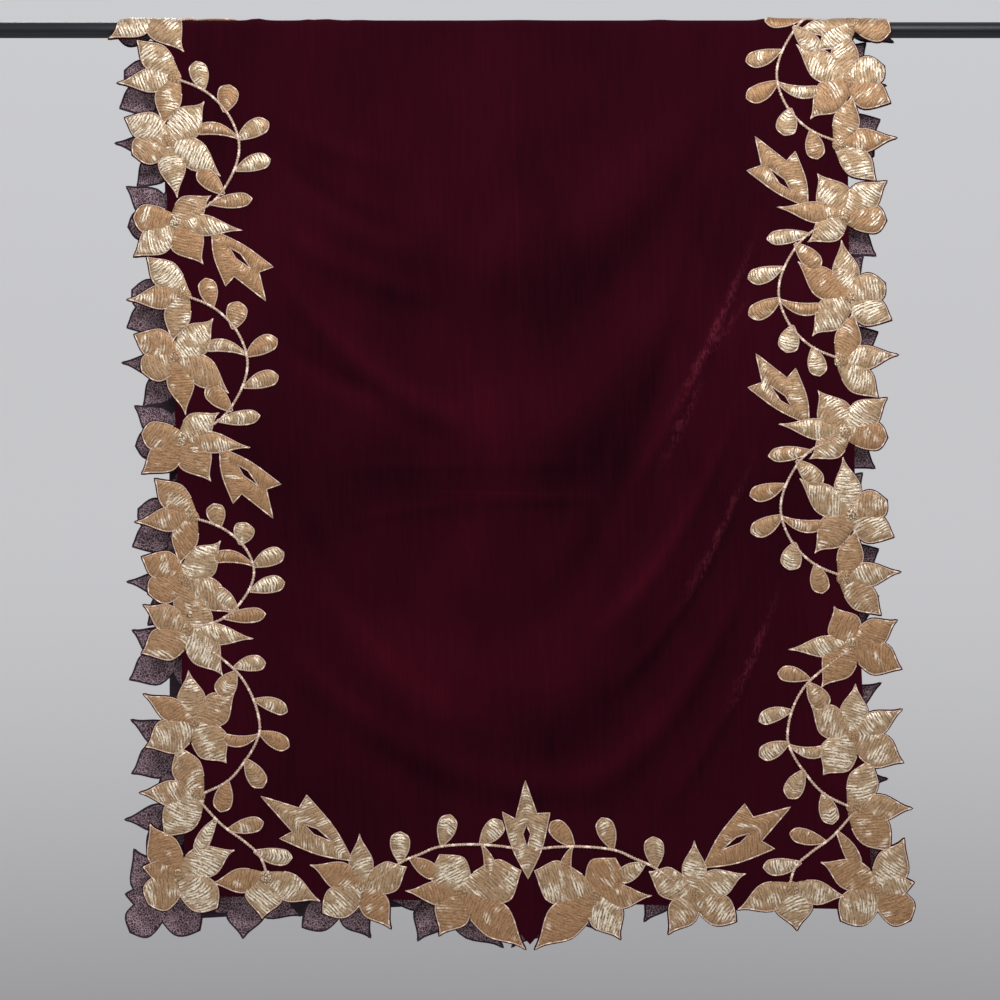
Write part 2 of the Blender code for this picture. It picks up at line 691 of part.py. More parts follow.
def gold_piece(name, loops, ridge):
    """One embroidered unit, padded towards the middle of each petal."""
    outline = np.vstack(loops)
    ridge = np.array(ridge)
    fits = inside(ridge, loops[0])
    for hole in loops[1:]:
        fits &= ~inside(ridge, hole)
    fits &= away(ridge, loops) > RIDGE_CLEAR / UNIT
    points, faces = triangulate(loops, ridge[fits], bend_lines(outline))
    middles = points[faces].mean(axis=1)
    keep = inside(middles, loops[0])
    for hole in loops[1:]:
        keep &= ~inside(middles, hole)
    points, faces = used_only(points, faces[keep])
    inner = away(points, loops) * UNIT
    height = GOLD_RIM + (GOLD_RAISE - GOLD_RIM) * np.clip(inner / GOLD_SLOPE, 0.0, 1.0)
    solid = {"thickness": GOLD_RAISE, "offset": 1.0, "even": False, "weights": height / GOLD_RAISE}
    return sheet(name, points, faces, CLOTH_THICK / 2 + GOLD_LIFT, solid)


def used_only(points, faces):
    """Points that the faces use, with the faces numbered to match."""
    used = np.unique(faces)
    renumber = np.full(len(points), -1)
    renumber[used] = np.arange(len(used))
    return points[used], renumber[faces]


def velvet_piece(name, ground, window):
    """One stretch of the velvet between two rows along the cloth."""
    low, high = window[0] / UNIT, window[1] / UNIT
    lines = [((-PAST_EDGE, row), (PAST_EDGE, row)) for row in (low, high)]
    loops = union(ground, [], VELVET_TOLERANCE, lines, (low, high))
    outline = np.vstack(loops)
    grid = []
    rows = int(round((window[1] - window[0]) / GRID_STEP))
    for j in range(1, rows):
        along = low + (high - low) * j / rows
        for i in range(GRID_COLUMNS):
            share = 2.0 * i / (GRID_COLUMNS - 1) - 1.0
            grid.append((PANEL_HALF_WIDTH * GRID_SHARE * share, along))
    grid = np.array(grid) if grid else np.zeros((0, 2))
    if len(grid):
        fits = inside(grid, loops[0]) & (away(grid, loops) > GRID_CLEAR / UNIT)
        grid = grid[fits]
    points, faces = triangulate(loops, grid, bend_lines(outline))
    middles = points[faces].mean(axis=1)
    keep = inside(middles, loops[0])
    for hole in loops[1:]:
        keep &= ~inside(middles, hole)
    points, faces = used_only(points, faces[keep])
    solid = {"thickness": CLOTH_THICK, "offset": 0.0, "even": True, "weights": None}
    return sheet(name, points, faces, 0.0, solid)


def material(name, colour, roughness, metallic):
    """A plain surface of one colour."""
    made = bpy.data.materials.new(name)
    made.use_nodes = True
    shader = made.node_tree.nodes["Principled BSDF"]
    shader.inputs["Base Color"].default_value = (*colour, 1.0)
    shader.inputs["Roughness"].default_value = roughness
    shader.inputs["Metallic"].default_value = metallic
    made.diffuse_color = (*colour, 1.0)
    return made


def half_turn(point):
    """A point of the front border turned half round, to where the back border has it."""
    return np.array((-point[0], -point[1] * (BACK_STRETCH + BACK_LEAN * point[0])))


def other_side(name):
    """The name of a unit once the pattern is turned half round."""
    if "left" in name:
        return name.replace("left", "right")
    return name.replace("right", "left")


def front_and_back():
    """Flat shapes of all units, front as listed and back turned half round."""
    whole = []
    for unit in UNITS:
        shapes = unit_shapes(unit)
        whole.append(("front_" + unit["name"], shapes))
    for unit in UNITS:
        shapes = unit_shapes(unit)
        turned = {}
        for key in ("gold", "ground", "slots"):
            turned[key] = [[half_turn(p) for p in polygon] for polygon in shapes[key]]
        turned["ridge"] = [half_turn(p) for p in shapes["ridge"]]
        whole.append(("back_" + other_side(unit["name"]), turned))
    return whole


def main():
    """Builds every solid of the stole and its rod."""
    for item in list(bpy.data.objects):
        bpy.data.objects.remove(item, do_unlink=True)
    collection = bpy.data.collections.new("evening_stole_on_rod")
    bpy.context.scene.collection.children.link(collection)
    velvet = material("velvet_burgundy", (0.032, 0.0044, 0.0092), 0.75, 0.0)
    gold = material("gold_thread", (0.50, 0.34, 0.18), 0.38, 0.85)
    paint = material("rod_black", (0.018, 0.019, 0.022), 0.35, 0.0)

    bpy.ops.mesh.primitive_cylinder_add(vertices=ROD_SIDES, radius=ROD_RADIUS, depth=ROD_LENGTH)
    rod = bpy.context.object
    rod.name = "rod"
    rod.rotation_euler = (0.0, math.pi / 2, 0.0)
    rod.data.shade_smooth()
    rod.data.set_sharp_from_angle(angle=ROD_EDGE_ANGLE)
    for old in list(rod.users_collection):
        old.objects.unlink(rod)
    collection.objects.link(rod)
    rod.data.materials.append(paint)

    ground = []
    taken = []
    pieces = []
    for name, shapes in front_and_back():
        ground += [skewed(p) for p in shapes["ground"]]
        own = [skewed(p) for p in shapes["gold"]]
        box = np.vstack(own)
        low = box.min(axis=0) - NEIGHBOUR_REACH
        high = box.max(axis=0) + NEIGHBOUR_REACH
        near = [t for t in taken if (t.min(axis=0) < high).all() and (t.max(axis=0) > low).all()]
        loops = union(own, near + [skewed(p) for p in shapes["slots"]], GOLD_TOLERANCE)
        taken.append(grown(loops[0], PIECE_GAP))
        pieces.append((name, loops, skewed(shapes["ridge"])))
    for name, loops, ridge in pieces:
        item = gold_piece(name, loops, ridge)
        item.data.materials.append(gold)
        collection.objects.link(item)

    panel = [(PANEL_HALF_WIDTH, PANEL_END), (-PANEL_HALF_WIDTH, PANEL_END)]
    panel = [half_turn(p) for p in panel] + panel
    ground.append(skewed([np.array(p) for p in panel]))
    top = PANEL_END - HEM_POINT_OVERLAP
    point = [(-HEM_POINT_HALF, top), (HEM_POINT_HALF, top), (0.0, HEM_POINT)]
    ground.append(skewed([np.array(p) for p in point]))
    ground.append(skewed([half_turn(p) for p in point]))
    half = SEAM_GAP / 2
    stretches = (
        ("velvet_front_fall", (SEAM_ALONG + half, PAST_HEM)),
        ("velvet_over_rod", (-SEAM_ALONG + half, SEAM_ALONG - half)),
        ("velvet_back_fall", (-PAST_HEM, -SEAM_ALONG - half)),
    )
    for name, window in stretches:
        item = velvet_piece(name, ground, window)
        item.data.materials.append(velvet)
        collection.objects.link(item)


main()
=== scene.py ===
"""Looks of an evening stole folded over its rod.

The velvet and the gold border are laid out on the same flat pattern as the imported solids:
across runs from the centre line to the right, along from the fold over the rod, positive
down the front and negative down the back.  Tables are in pattern units, and UNIT is the
size of one in metres.
"""

import math
import random

import bpy
import numpy as np
from bpy.props import FloatProperty, FloatVectorProperty, IntProperty, PointerProperty
from mathutils import Color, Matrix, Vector, kdtree
from mathutils.geometry import delaunay_2d_cdt


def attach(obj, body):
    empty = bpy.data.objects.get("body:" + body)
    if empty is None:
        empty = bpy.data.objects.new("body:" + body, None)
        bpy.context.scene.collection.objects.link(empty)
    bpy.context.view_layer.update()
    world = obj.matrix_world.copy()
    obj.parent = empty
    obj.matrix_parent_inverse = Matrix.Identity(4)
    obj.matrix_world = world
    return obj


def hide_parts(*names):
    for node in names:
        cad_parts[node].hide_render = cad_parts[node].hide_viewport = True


bl_info = {
    "name": "Evening stole on a rod",
    "version": (1, 0, 0),
    "blender": (4, 5, 0),
    "location": "3D View > Sidebar > Stole",
    "description": "Velvet stole with a padded gold cutwork border, hung over a rod",
    "category": "Object",
}

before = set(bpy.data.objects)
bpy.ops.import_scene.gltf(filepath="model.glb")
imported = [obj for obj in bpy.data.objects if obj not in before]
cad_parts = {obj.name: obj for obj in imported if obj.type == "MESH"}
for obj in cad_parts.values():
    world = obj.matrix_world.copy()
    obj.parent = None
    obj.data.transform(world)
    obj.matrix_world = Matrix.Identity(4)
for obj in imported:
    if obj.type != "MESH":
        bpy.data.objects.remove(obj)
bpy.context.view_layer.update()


def table(columns, rows):
    """Rows of a table with their columns named."""
    names = columns.split()
    return tuple(dict(zip(names, row)) for row in rows)


UNIT = 0.0012
ROD_RADIUS = 0.0095
CLOTH_THICK = 0.0018
BEND_RADIUS = ROD_RADIUS + 0.0003 + CLOTH_THICK / 2
BEND_HALF = math.pi / 2 * BEND_RADIUS
FALL_LENGTH = 1.11

# Steps for slopes, in metres, and how strongly the pile's painted light and shade follow its
# slope.
SHORT_STEP = 0.0005
SLOPE_LIGHT_STEP = 0.004
SLOPE_LIGHT_CONTRAST = 2.3

# How the hung cloth leans and narrows.
SKEW = 0.02
DRIFT_FRONT = 0.0301
DRIFT_BACK = 0.0060
NARROWING = 0.016
BACK_STRETCH = 1.003
BACK_LEAN = 0.000042

# The velvet's cut and its mesh, in pattern units.
PANEL_HALF_WIDTH = 344.0
PANEL_END = 888.0
HEM_POINT = 930.0
HEM_POINT_HALF = 46.0
HEM_POINT_OVERLAP = 10.0
GROUND_MARGIN = 1.5
CUT_STEPS = 12
SMALLEST_HOLE = 60.0
SHORTEST_EDGE = 0.7
BEND_ROWS = 17
FIRST_ROW = 2.2
ROW_GROWTH = 0.3

# How close the velvet's mesh comes to its edge, as shares of the mesh step.
EDGE_SHARE = 0.6
CLEAR_SHARE = 0.55

# Folds of each fall, as in the solids: centre = where across the swag hangs lowest, bottom =
# how far down, left and right = how steeply its two sides rise, height = how far it stands
# out, spread = its half breadth.
FOLD = "centre bottom left right height spread"
FRONT_FOLDS = table(FOLD, (
    (0.00, 0.300, 0.14, 0.69, 0.0028, 0.055),
    (-0.04, 0.525, 0.18, 0.50, 0.0052, 0.068),
    (-0.04, 0.850, 0.55, 0.60, 0.0060, 0.066),
))
BACK_FOLDS = table(FOLD, (
    (0.03, 0.330, 0.42, 0.20, 0.0034, 0.060),
    (0.02, 0.570, 0.46, 0.26, 0.0050, 0.068),
    (0.03, 0.840, 0.58, 0.46, 0.0056, 0.068),
))

# How a swag rises to its sides, where the folds begin and end, and the wave of the border.
FOLD_REACH = 0.42
FOLD_CURVE = 2.0
FOLD_FADE_IN = 0.24
FOLD_FULL = 0.12
FOLD_GONE = 0.29
BORDER_WAVE = 0.0016
BORDER_WAVE_LENGTH = 0.46
WAVE_START_RIGHT = 0.7
WAVE_START_LEFT = 2.1
BORDER_WAVE_NONE = 0.16
BORDER_WAVE_FULL = 0.36
HEM_KICK = 0.0040

# Small creases that only the looks have: as the folds, and from and to = their two ends.
FRONT_CREASES = table(FOLD + " from to", (
    (0.04, 0.930, 0.26, 0.80, 0.0018, 0.023, -0.31, 0.31),
    (-0.03, 0.745, 0.55, 1.20, -0.0022, 0.042, -0.08, 0.27),
    (-0.03, 0.830, 0.70, 0.70, -0.0008, 0.026, -0.31, -0.01),
    (0.03, 0.631, 0.60, 0.92, 0.0014, 0.015, 0.12, 0.32),
    (0.03, 0.762, 0.60, 0.85, 0.0014, 0.018, 0.06, 0.32),
    (0.03, 0.835, 0.60, 0.79, 0.0011, 0.014, 0.08, 0.32),
    (0.03, 1.028, 0.60, 0.72, 0.0013, 0.018, 0.14, 0.33),
    (-0.01, 0.500, 0.43, 0.60, 0.0016, 0.019, -0.32, -0.03),
    (-0.04, 0.342, 0.24, 0.40, 0.0010, 0.016, -0.32, -0.06),
    (-0.09, 0.267, 0.48, 0.40, -0.0010, 0.014, -0.32, -0.10),
    (-0.11, 0.183, 0.37, 0.40, 0.0011, 0.013, -0.32, -0.11),
    (-0.12, 0.462, 0.46, 0.40, -0.0010, 0.014, -0.32, -0.12),
    (0.00, 0.385, 0.60, 0.69, -0.0011, 0.036, 0.03, 0.32),
    (0.04, 0.582, -0.083, 0.05, 0.0004, 0.007, -0.24, 0.12),
    (0.04, 0.540, -0.02, 0.02, 0.0003, 0.007, -0.24, 0.12),
))
BACK_CREASES = table(FOLD + " from to", (
    (0.03, 0.410, 0.74, 0.62, 0.0011, 0.021, -0.29, 0.28),
    (0.02, 0.480, 0.92, 0.68, -0.0012, 0.024, -0.28, 0.28),
    (0.03, 0.660, 1.16, 0.80, 0.0013, 0.020, -0.29, 0.27),
    (0.01, 0.750, 1.30, 0.86, -0.0014, 0.025, -0.28, 0.27),
    (0.02, 0.910, 1.20, 0.92, 0.0015, 0.021, -0.28, 0.28),
))

# Where creases fade out: at their ends, towards the border and towards the hem.
CREASE_END = 0.08
CREASES_FULL = 0.24
CREASES_GONE = 0.32
CREASES_LOW = 0.93
CREASES_END = 1.00

# Slow, irregular swell of hand-hung cloth: height, how often across and along, and start.
SWELLS = table("height across along start", (
    (0.00035, 31.0, 9.0, 1.3),
    (0.00030, 17.0, -23.0, 0.4),
    (0.00022, 53.0, 41.0, 2.2),
    (0.00018, 71.0, -37.0, 5.0),
))

# Rucks of the velvet on top of the rod.
RUCKS = table("across spread height", (
    (-0.295, 0.010, 0.0024),
    (-0.234, 0.007, 0.0012),
    (-0.212, 0.013, 0.0017),
    (-0.172, 0.012, 0.0007),
    (0.020, 0.030, 0.0006),
    (0.190, 0.014, 0.0009),
    (0.318, 0.010, 0.0023),
))

# Ridges where the pile of the front fall is crushed, painted bright with the crushed pile's
# sheen:
# the swags they follow, and how far across, how broad and how strong.
CRUSHED = table("bottom right middle reach breadth strength", (
    (0.596, 0.80, 0.244, 0.070, 0.017, 1.0),
    (0.518, 0.46, 0.258, 0.042, 0.009, 0.6),
    (0.650, 0.92, 0.205, 0.040, 0.018, 0.6),
    (0.828, 0.77, 0.240, 0.060, 0.015, 0.8),
    (1.028, 0.72, 0.280, 0.045, 0.018, 0.9),
))
CRUSHED_CENTRE = 0.03

# Petals of each flower: across and along = the tip from the flower's centre, width,
# belly = where it is widest, hook = how far the tip leans, blunt = 1 for a round end.
PETAL = "across along width belly hook blunt"
FLOWERS = {
    "three": table(PETAL, (
        (-33, -38, 29, 0.52, -0.10, 0.3),
        (-56, 9, 24, 0.40, 0.10, 0.0),
        (-16, 49, 26, 0.45, -0.10, 0.0),
    )),
    "open": table(PETAL, (
        (-36, -27, 31, 0.55, -0.25, 0.4),
        (-33, 18, 30, 0.58, 0.12, 0.9),
        (9, 57, 27, 0.45, 0.05, 0.0),
        (56, 27, 30, 0.50, 0.30, 0.0),
        (43, -34, 32, 0.50, -0.20, 0.0),
    )),
    "long": table(PETAL, (
        (33, -31, 28, 0.45, 0.20, 0.0),
        (67, 6, 21, 0.40, 0.05, 0.0),
        (23, 43, 35, 0.45, -0.10, 0.0),
        (-40, 38, 30, 0.50, 0.15, 0.2),
        (-42, -4, 28, 0.60, 0.0, 1.0),
    )),
    "fold": table(PETAL, (
        (34, -34, 27, 0.45, 0.15, 0.0),
        (58, -12, 20, 0.42, 0.0, 0.0),
        (27, 46, 36, 0.42, -0.10, 0.0),
        (-38, 38, 29, 0.45, 0.30, 0.0),
        (-38, -10, 28, 0.60, 0.0, 0.9),
    )),
    "turn": table(PETAL, (
        (20, -36, 35, 0.48, -0.05, 0.0),
        (66, 8, 21, 0.42, -0.05, 0.0),
        (37, 42, 34, 0.45, 0.10, 0.0),
        (-44, 28, 34, 0.55, 0.15, 0.2),
        (-44, -24, 27, 0.50, 0.0, 0.0),
    )),
    "side": table(PETAL, (
        (-5, -52, 28, 0.45, 0.0, 0.0),
        (44, -25, 32, 0.55, -0.20, 0.1),
        (33, 38, 36, 0.55, 0.05, 0.1),
        (-47, 28, 35, 0.55, 0.10, 0.1),
        (-50, -27, 24, 0.45, 0.0, 0.0),
    )),
    "bract": table(PETAL, (
        (-20, -50, 30, 0.50, 0.0, 0.1),
        (-57, 0, 26, 0.45, 0.0, 0.0),
        (-33, 42, 36, 0.50, 0.0, 0.5),
    )),
    "corner": table(PETAL, (
        (-33, -48, 34, 0.50, 0.15, 0.1),
        (52, -32, 32, 0.50, 0.20, 0.0),
        (-31, 29, 34, 0.60, 0.0, 1.0),
        (37, 31, 36, 0.60, 0.0, 0.7),
        (-36, -8, 22, 0.50, 0.0, 0.4),
    )),
    "hem_three": table(PETAL, (
        (-54, 6, 24, 0.45, 0.0, 0.0),
        (-4, 40, 37, 0.45, 0.0, 0.1),
        (55, 19, 28, 0.42, 0.10, 0.0),
    )),
    "hem_five": table(PETAL, (
        (-2, -53, 24, 0.45, 0.0, 0.0),
        (-50, -25, 28, 0.45, -0.15, 0.0),
        (46, -17, 30, 0.60, -0.15, 0.2),
        (-40, 26, 32, 0.58, 0.0, 0.6),
        (27, 40, 29, 0.45, 0.0, 0.0),
    )),
    "hem_wide": table(PETAL, (
        (-22, -38, 40, 0.62, 0.0, 0.4),
        (-57, 1, 24, 0.42, 0.10, 0.0),
        (-24, 42, 35, 0.48, 0.0, 0.0),
        (61, -18, 42, 0.66, -0.15, 0.3),
        (64, 50, 36, 0.50, 0.15, 0.0),
    )),
}

# A vine is a row of points; a leaf runs from its root on the vine to its end, and bend
# curves it sideways; a fork has a foot, three prong tips and a slot.
SIDE_VINE = ((-4, 0), (28, 13), (50, 35), (60, 61), (57, 85), (43, 111), (26, 128), (2, 138))
LEAF = "root end width bend"
SIDE_LEAVES = table(LEAF, (
    ((27, 13), (21, -16), 18, 0.0),
    ((47, 34), (54, 7), 20, 0.0),
    ((59, 61), (91, 43), 17, -0.04),
    ((60, 60), (15, 54), 12, 0.14),
    ((56, 92), (91, 80), 16, -0.04),
    ((43, 116), (18, 92), 18, 0.0),
    ((28, 126), (71, 120), 14, 0.0),
))
SIDE_FORK = {
    "foot": (29, 152), "tips": ((90, 188), (81, 222), (41, 208)),
    "slot": (57, 180), "slot_along": (22, 22), "slot_width": 7.0,
}
LOWER_VINE = (
    (2, 4), (27, 22), (51, 43), (65, 67), (71, 92), (68, 108), (57, 127), (37, 150), (4, 166),
)
LOWER_LEAVES = table(LEAF, (
    ((46, 36), (78, 31), 15, -0.05),
    ((48, 40), (31, 65), 20, 0.0),
    ((65, 68), (99, 79), 14, -0.05),
    ((70, 100), (100, 114), 16, 0.0),
    ((70, 102), (29, 104), 11, -0.16),
    ((56, 127), (73, 155), 18, 0.0),
    ((38, 149), (30, 180), 18, 0.0),
))
CORNER_VINE = ((-2, 2), (23, 29), (46, 46), (62, 61), (70, 84))
CORNER_LEAVES = table(LEAF, (
    ((19, 24), (-1, 63), 14, 0.05),
    ((30, 35), (66, 27), 15, 0.0),
    ((56, 56), (94, 62), 16, 0.04),
))
HEM_FORK = {
    "foot": (-9, -26), "tips": ((-54, -91), (-100, -89), (-82, -47)),
    "slot": (-43, -53), "slot_along": (30, 18), "slot_width": 7.0,
}
HEM_VINE = ((8, -4), (38, -25), (58, -34), (78, -42), (108, -45), (138, -44), (158, -41))
HEM_LEAVES = table(LEAF, (
    ((38, -25), (39, -56), 19, 0.0),
    ((48, -30), (76, -13), 16, 0.0),
    ((80, -43), (90, -74), 18, 0.0),
    ((119, -45), (141, -69), 18, 0.0),
    ((121, -44), (124, -2), 12, -0.14),
))
CENTRE_FORK = {
    "foot": (0, 6), "tips": ((24, -60), (0, -92), (-24, -60)),
    "slot": (0, -36), "slot_along": (0, 24), "slot_width": 8.0,
}

# What each kind of unit holds: flowers with their centres, a vine with leaves, a fork, and
# squeeze = how much shorter its vine is.
CROSSING = {"flowers": (("three", (-2, 0)), ("open", (-12, 63))),
            "vine": SIDE_VINE, "leaves": SIDE_LEAVES}
KINDS = {
    "spray": {**CROSSING, "flowers": (*CROSSING["flowers"], ("long", (-7, 145))),
              "fork": SIDE_FORK},
    "short": {**CROSSING, "squeeze": 0.80},
    "crossing": CROSSING,
    "fold": {"flowers": (("fold", (0, 0)),)},
    "lower": {"flowers": (("turn", (0, 0)), ("side", (5, 92)), ("bract", (7, 163))),
              "vine": LOWER_VINE, "leaves": LOWER_LEAVES},
    "corner": {"flowers": (("corner", (0, 0)),)},
    "corner_spray": {"flowers": (("hem_three", (67, 83)),),
                     "vine": CORNER_VINE, "leaves": CORNER_LEAVES},
    "hem": {"flowers": (("hem_five", (0, 0)),),
            "vine": HEM_VINE, "leaves": HEM_LEAVES, "fork": HEM_FORK},
    "hem_wide": {"flowers": (("hem_wide", (0, 0)),)},
    "centre": {"flowers": (), "fork": CENTRE_FORK},
}

# Units of the front border: name, kind, where it starts across and along, and whether it is
# turned half round or mirrored.
UNITS = (
    ("fold_flower_left", "fold", -350, 0, False, False),
    ("spray_left_upper", "spray", -329, 70, False, False),
    ("spray_left_middle", "spray", -329, 287, False, False),
    ("turn_spray_left", "lower", -337, 623, False, False),
    ("spray_left_lower", "short", -329, 509, False, False),
    ("corner_flower_left", "corner", -349, 868, False, False),
    ("corner_spray_left", "corner_spray", -330, 786, False, False),
    ("spray_right_upper", "crossing", 334, 123, True, False),
    ("spray_right_middle", "spray", 332, 340, True, False),
    ("spray_right_lower", "spray", 328, 557, True, False),
    ("turn_spray_right", "lower", -337, 623, False, True),
    ("corner_flower_right", "corner", -349, 868, False, True),
    ("corner_spray_right", "corner_spray", -330, 786, False, True),
    ("hem_flower_left", "hem_wide", -66, 880, False, False),
    ("hem_flower_right", "hem_wide", -66, 880, False, True),
    ("hem_fork_centre", "centre", 0, 858, False, False),
    ("hem_spray_left", "hem", -166, 876, False, False),
    ("hem_spray_right", "hem", -166, 876, False, True),
)

# What the name of every piece of stitching ends with.
STITCHED = "_stitched"

# Outlines of petals, leaves and forks, as shares of their sizes.
POINTED_POWER = 1.45
BLUNT_POWER = 2.3
TIP_TAPER = 0.8
PETAL_FOOT = 0.5
LEAF_FOOT = 0.12
LEAF_BELLY = 0.62
FORK_NOTCHES = (0.45, 0.36, 0.30)
FORK_SWELL = 0.53
FORK_SPREAD = 0.08
SLOT_WIDEST = 0.2
TIP_GROWTH = 1.6

# The stage, in metres; the picture's width in pattern units.
FLOOR_CORNERS = ((-2.4, -2.6), (2.4, -2.6), (2.4, 1.7), (-2.4, 1.7))
CAMERA_ACROSS = -0.0024
CAMERA_UP = -0.5664
FRONT_OUT = 0.012
PICTURE_WIDTH = 1000
LIGHTS = table("name power place aim size tint", (
    ("key_light", "key_power", (0.30, -1.75, 0.85), -0.35, (1.5, 0.8), (1.0, 0.985, 0.96)),
    ("fill_light", "fill_power", (-1.9, -1.6, -0.3), -0.6, (1.0, 1.6), (0.94, 0.97, 1.0)),
    ("back_light", "back_power", (-0.3, 1.75, 0.85), -0.45, (1.5, 0.8), (1.0, 0.985, 0.96)),
))

# Heights over the middle of the cloth, in metres; the padding reaches its full height
# PAD_SLOPE inside the edge, and TIP_SLOPE is how near to a tip it does so.
VELVET_FACE = CLOTH_THICK / 2
PAD_RIM = 0.0018
PAD_TOP = 0.0034
PAD_SLOPE = 0.0075
TIP_SLOPE = 0.7
PAD_STAGGER = 0.00012
PAD_FOOT = VELVET_FACE - 0.0001
EYE_TOP = 0.0043
REVERSE_LIFT = -VELVET_FACE - 0.00025

# The middle of a flower: its radius in pattern units, and its rings as shares.
EYE_RADIUS = 8.0
EYE_SIDES = 16
EYE_WOBBLE = 0.08
EYE_RINGS = table("reach rise", ((0.35, 0.96), (0.7, 0.8), (1.0, 0.45)))

# How finely the stitching is meshed, and where on a petal its outline cord starts.
PETAL_GRID = (17, 11)
LEAF_GRID = (12, 9)
REVERSE_GRID = (9, 5)
OUTLINE_START = 0.27
OUTLINE_STEPS = 15
VINE_STEPS = 30
CURVE_STEPS = 6
CORD_SIDES = 6
TWISTED_SIDES = 8
STRAND_DEPTH = 0.20
SHARP_STITCHING = math.radians(65.0)
SHARP_VELVET = math.radians(50.0)

# A forked leaf's mesh, in pattern units.
FORK_EDGE = 5.0
FORK_STEP = 3.2
FORK_CLEAR = 1.4


def smooth(value, low, high):
    """Smooth rise from 0 at low to 1 at high."""
    t = np.clip((value - low) / (high - low), 0.0, 1.0)
    return t * t * (3.0 - 2.0 * t)


def swag_line(across, fold):
    """How far down a swag's line lies at each place across."""
    edge = np.abs(across - fold["centre"]) / FOLD_REACH
    steep = np.where(across < fold["centre"], fold["left"], fold["right"])
    return fold["bottom"] - steep * edge ** FOLD_CURVE


def crease_lift(across, down, creases):
    """How far the small creases lift the velvet."""
    total = np.zeros_like(across)
    for row in creases:
        away = (down - swag_line(across, row)) / row["spread"]
        shown = smooth(across, row["from"], row["from"] + CREASE_END)
        shown *= 1.0 - smooth(across, row["to"] - CREASE_END, row["to"])
        total += row["height"] * shown * np.exp(-away * away)
    return total


def stand_out(across, along):
    """How far a fall stands out from its flat hang, with its small creases."""
    down = np.abs(along)
    front = along > 0
    total = np.zeros_like(across)
    for folds, side in ((FRONT_FOLDS, front), (BACK_FOLDS, ~front)):
        for fold in folds:
            away = (down - swag_line(across, fold)) / fold["spread"]
            total += np.where(side, fold["height"] * np.exp(-away * away), 0.0)
    total *= 1.0 - smooth(np.abs(across), FOLD_FULL, FOLD_GONE)
    start = np.where(across > 0, WAVE_START_RIGHT, WAVE_START_LEFT)
    wave = np.sin(2.0 * math.pi * down / BORDER_WAVE_LENGTH + start)
    total += BORDER_WAVE * (1.0 + wave) * smooth(
        np.abs(across), BORDER_WAVE_NONE, BORDER_WAVE_FULL)
    total += HEM_KICK * (down / FALL_LENGTH) ** 2
    small = np.where(front, crease_lift(across, down, FRONT_CREASES),
                     crease_lift(across, down, BACK_CREASES))
    for row in SWELLS:
        turn = across * row["across"] + along * row["along"] + row["start"]
        small += row["height"] * np.sin(turn)
    small *= 1.0 - smooth(np.abs(across), CREASES_FULL, CREASES_GONE)
    total += small * (1.0 - smooth(down, CREASES_LOW, CREASES_END))
    return total * smooth(down, BEND_HALF, BEND_HALF + FOLD_FADE_IN)


def ruck(across):
    """Small rucks of the velvet where it bends over the rod."""
    total = np.zeros_like(across)
    for row in RUCKS:
        away = (across - row["across"]) / row["spread"]
        total += row["height"] * np.exp(-away * away)
    return total


def drape(across, along):
    """The middle of the cloth in space, for arrays of cloth points in metres."""
    turn = np.clip(along, -BEND_HALF, BEND_HALF) / BEND_RADIUS
    past = np.maximum(0.0, np.abs(along) - BEND_HALF)
    radius = BEND_RADIUS + ruck(across) * np.cos(turn) ** 2
    out = np.where(past > 0, stand_out(across, along), 0.0)
    y = -np.sin(turn) * radius - np.sign(along) * out
    z = np.cos(turn) * radius - past
    narrow = 1.0 - NARROWING * np.sin(math.pi * np.minimum(1.0, np.abs(along) / FALL_LENGTH))
    drift = np.where(along > 0, DRIFT_FRONT, DRIFT_BACK) * np.abs(along)
    return np.stack((across * narrow + drift, y, z), axis=1)


def on_cloth(points, lift):
    """Pattern points in space, moved out from the middle of the cloth, and that direction."""
    across, along = np.asarray(points, float).T * UNIT
    sideways = drape(across + SHORT_STEP, along) - drape(across - SHORT_STEP, along)
    lengthways = drape(across, along + SHORT_STEP) - drape(across, along - SHORT_STEP)
    out = np.cross(lengthways, sideways)
    out /= np.linalg.norm(out, axis=1)[:, None]
    lift = np.broadcast_to(lift, across.shape)
    return drape(across, along) + out * lift[:, None], out


def blade_line(root, end, row, stations, grow=0.0):
    """Middle points and half widths of a petal or leaf at the given shares of its length."""
    root = np.array(root, float)
    axis = np.array(end, float) - root
    length = float(np.hypot(*axis))
    axis /= length
    side = np.array((-axis[1], axis[0]))
    t = np.asarray(stations, float)
    belly = row["belly"]
    power = POINTED_POWER + BLUNT_POWER * row["blunt"]
    rise = row["foot"] + (1.0 - row["foot"]) * np.sin(np.minimum(t / belly, 1.0) * math.pi / 2)
    past = np.clip((t - belly) / (1.0 - belly), 0.0, 1.0)
    fall = 1.0 - past ** power
    drawn_out = 0.5 + 0.5 * np.cos(math.pi * past)
    fall += (drawn_out - fall) * TIP_TAPER * (1.0 - row["blunt"])
    half = np.where(t < belly, rise, fall) * row["width"] / 2 + grow
    shift = row["hook"] * row["width"] * t ** 3 + row["bend"] * length * 4.0 * t * (1.0 - t)
    middle = root + np.outer(t * (length + grow), axis) + np.outer(shift, side)
    tip = root + axis * (length + TIP_GROWTH * grow) + side * row["hook"] * row["width"]
    return middle, half, side, tip, length


def blade_outline(root, end, row, count, grow=0.0, start=0.0):
    """Points round a petal or leaf, from its root round the tip and back."""
    stations = toward_tip(count, start)
    middle, half, side, tip, _ = blade_line(root, end, row, stations, grow)
    left = middle + side * half[:, None]
    right = middle - side * half[:, None]
    return np.vstack((left, tip[None], right[::-1]))


def toward_tip(count, start=0.0):
    """Shares of a blade's length, closer together towards its tip."""
    q = np.linspace(0.0, 1.0, count, endpoint=False)
    return start + (1.0 - start) * (1.0 - (1.0 - q) ** 1.5)


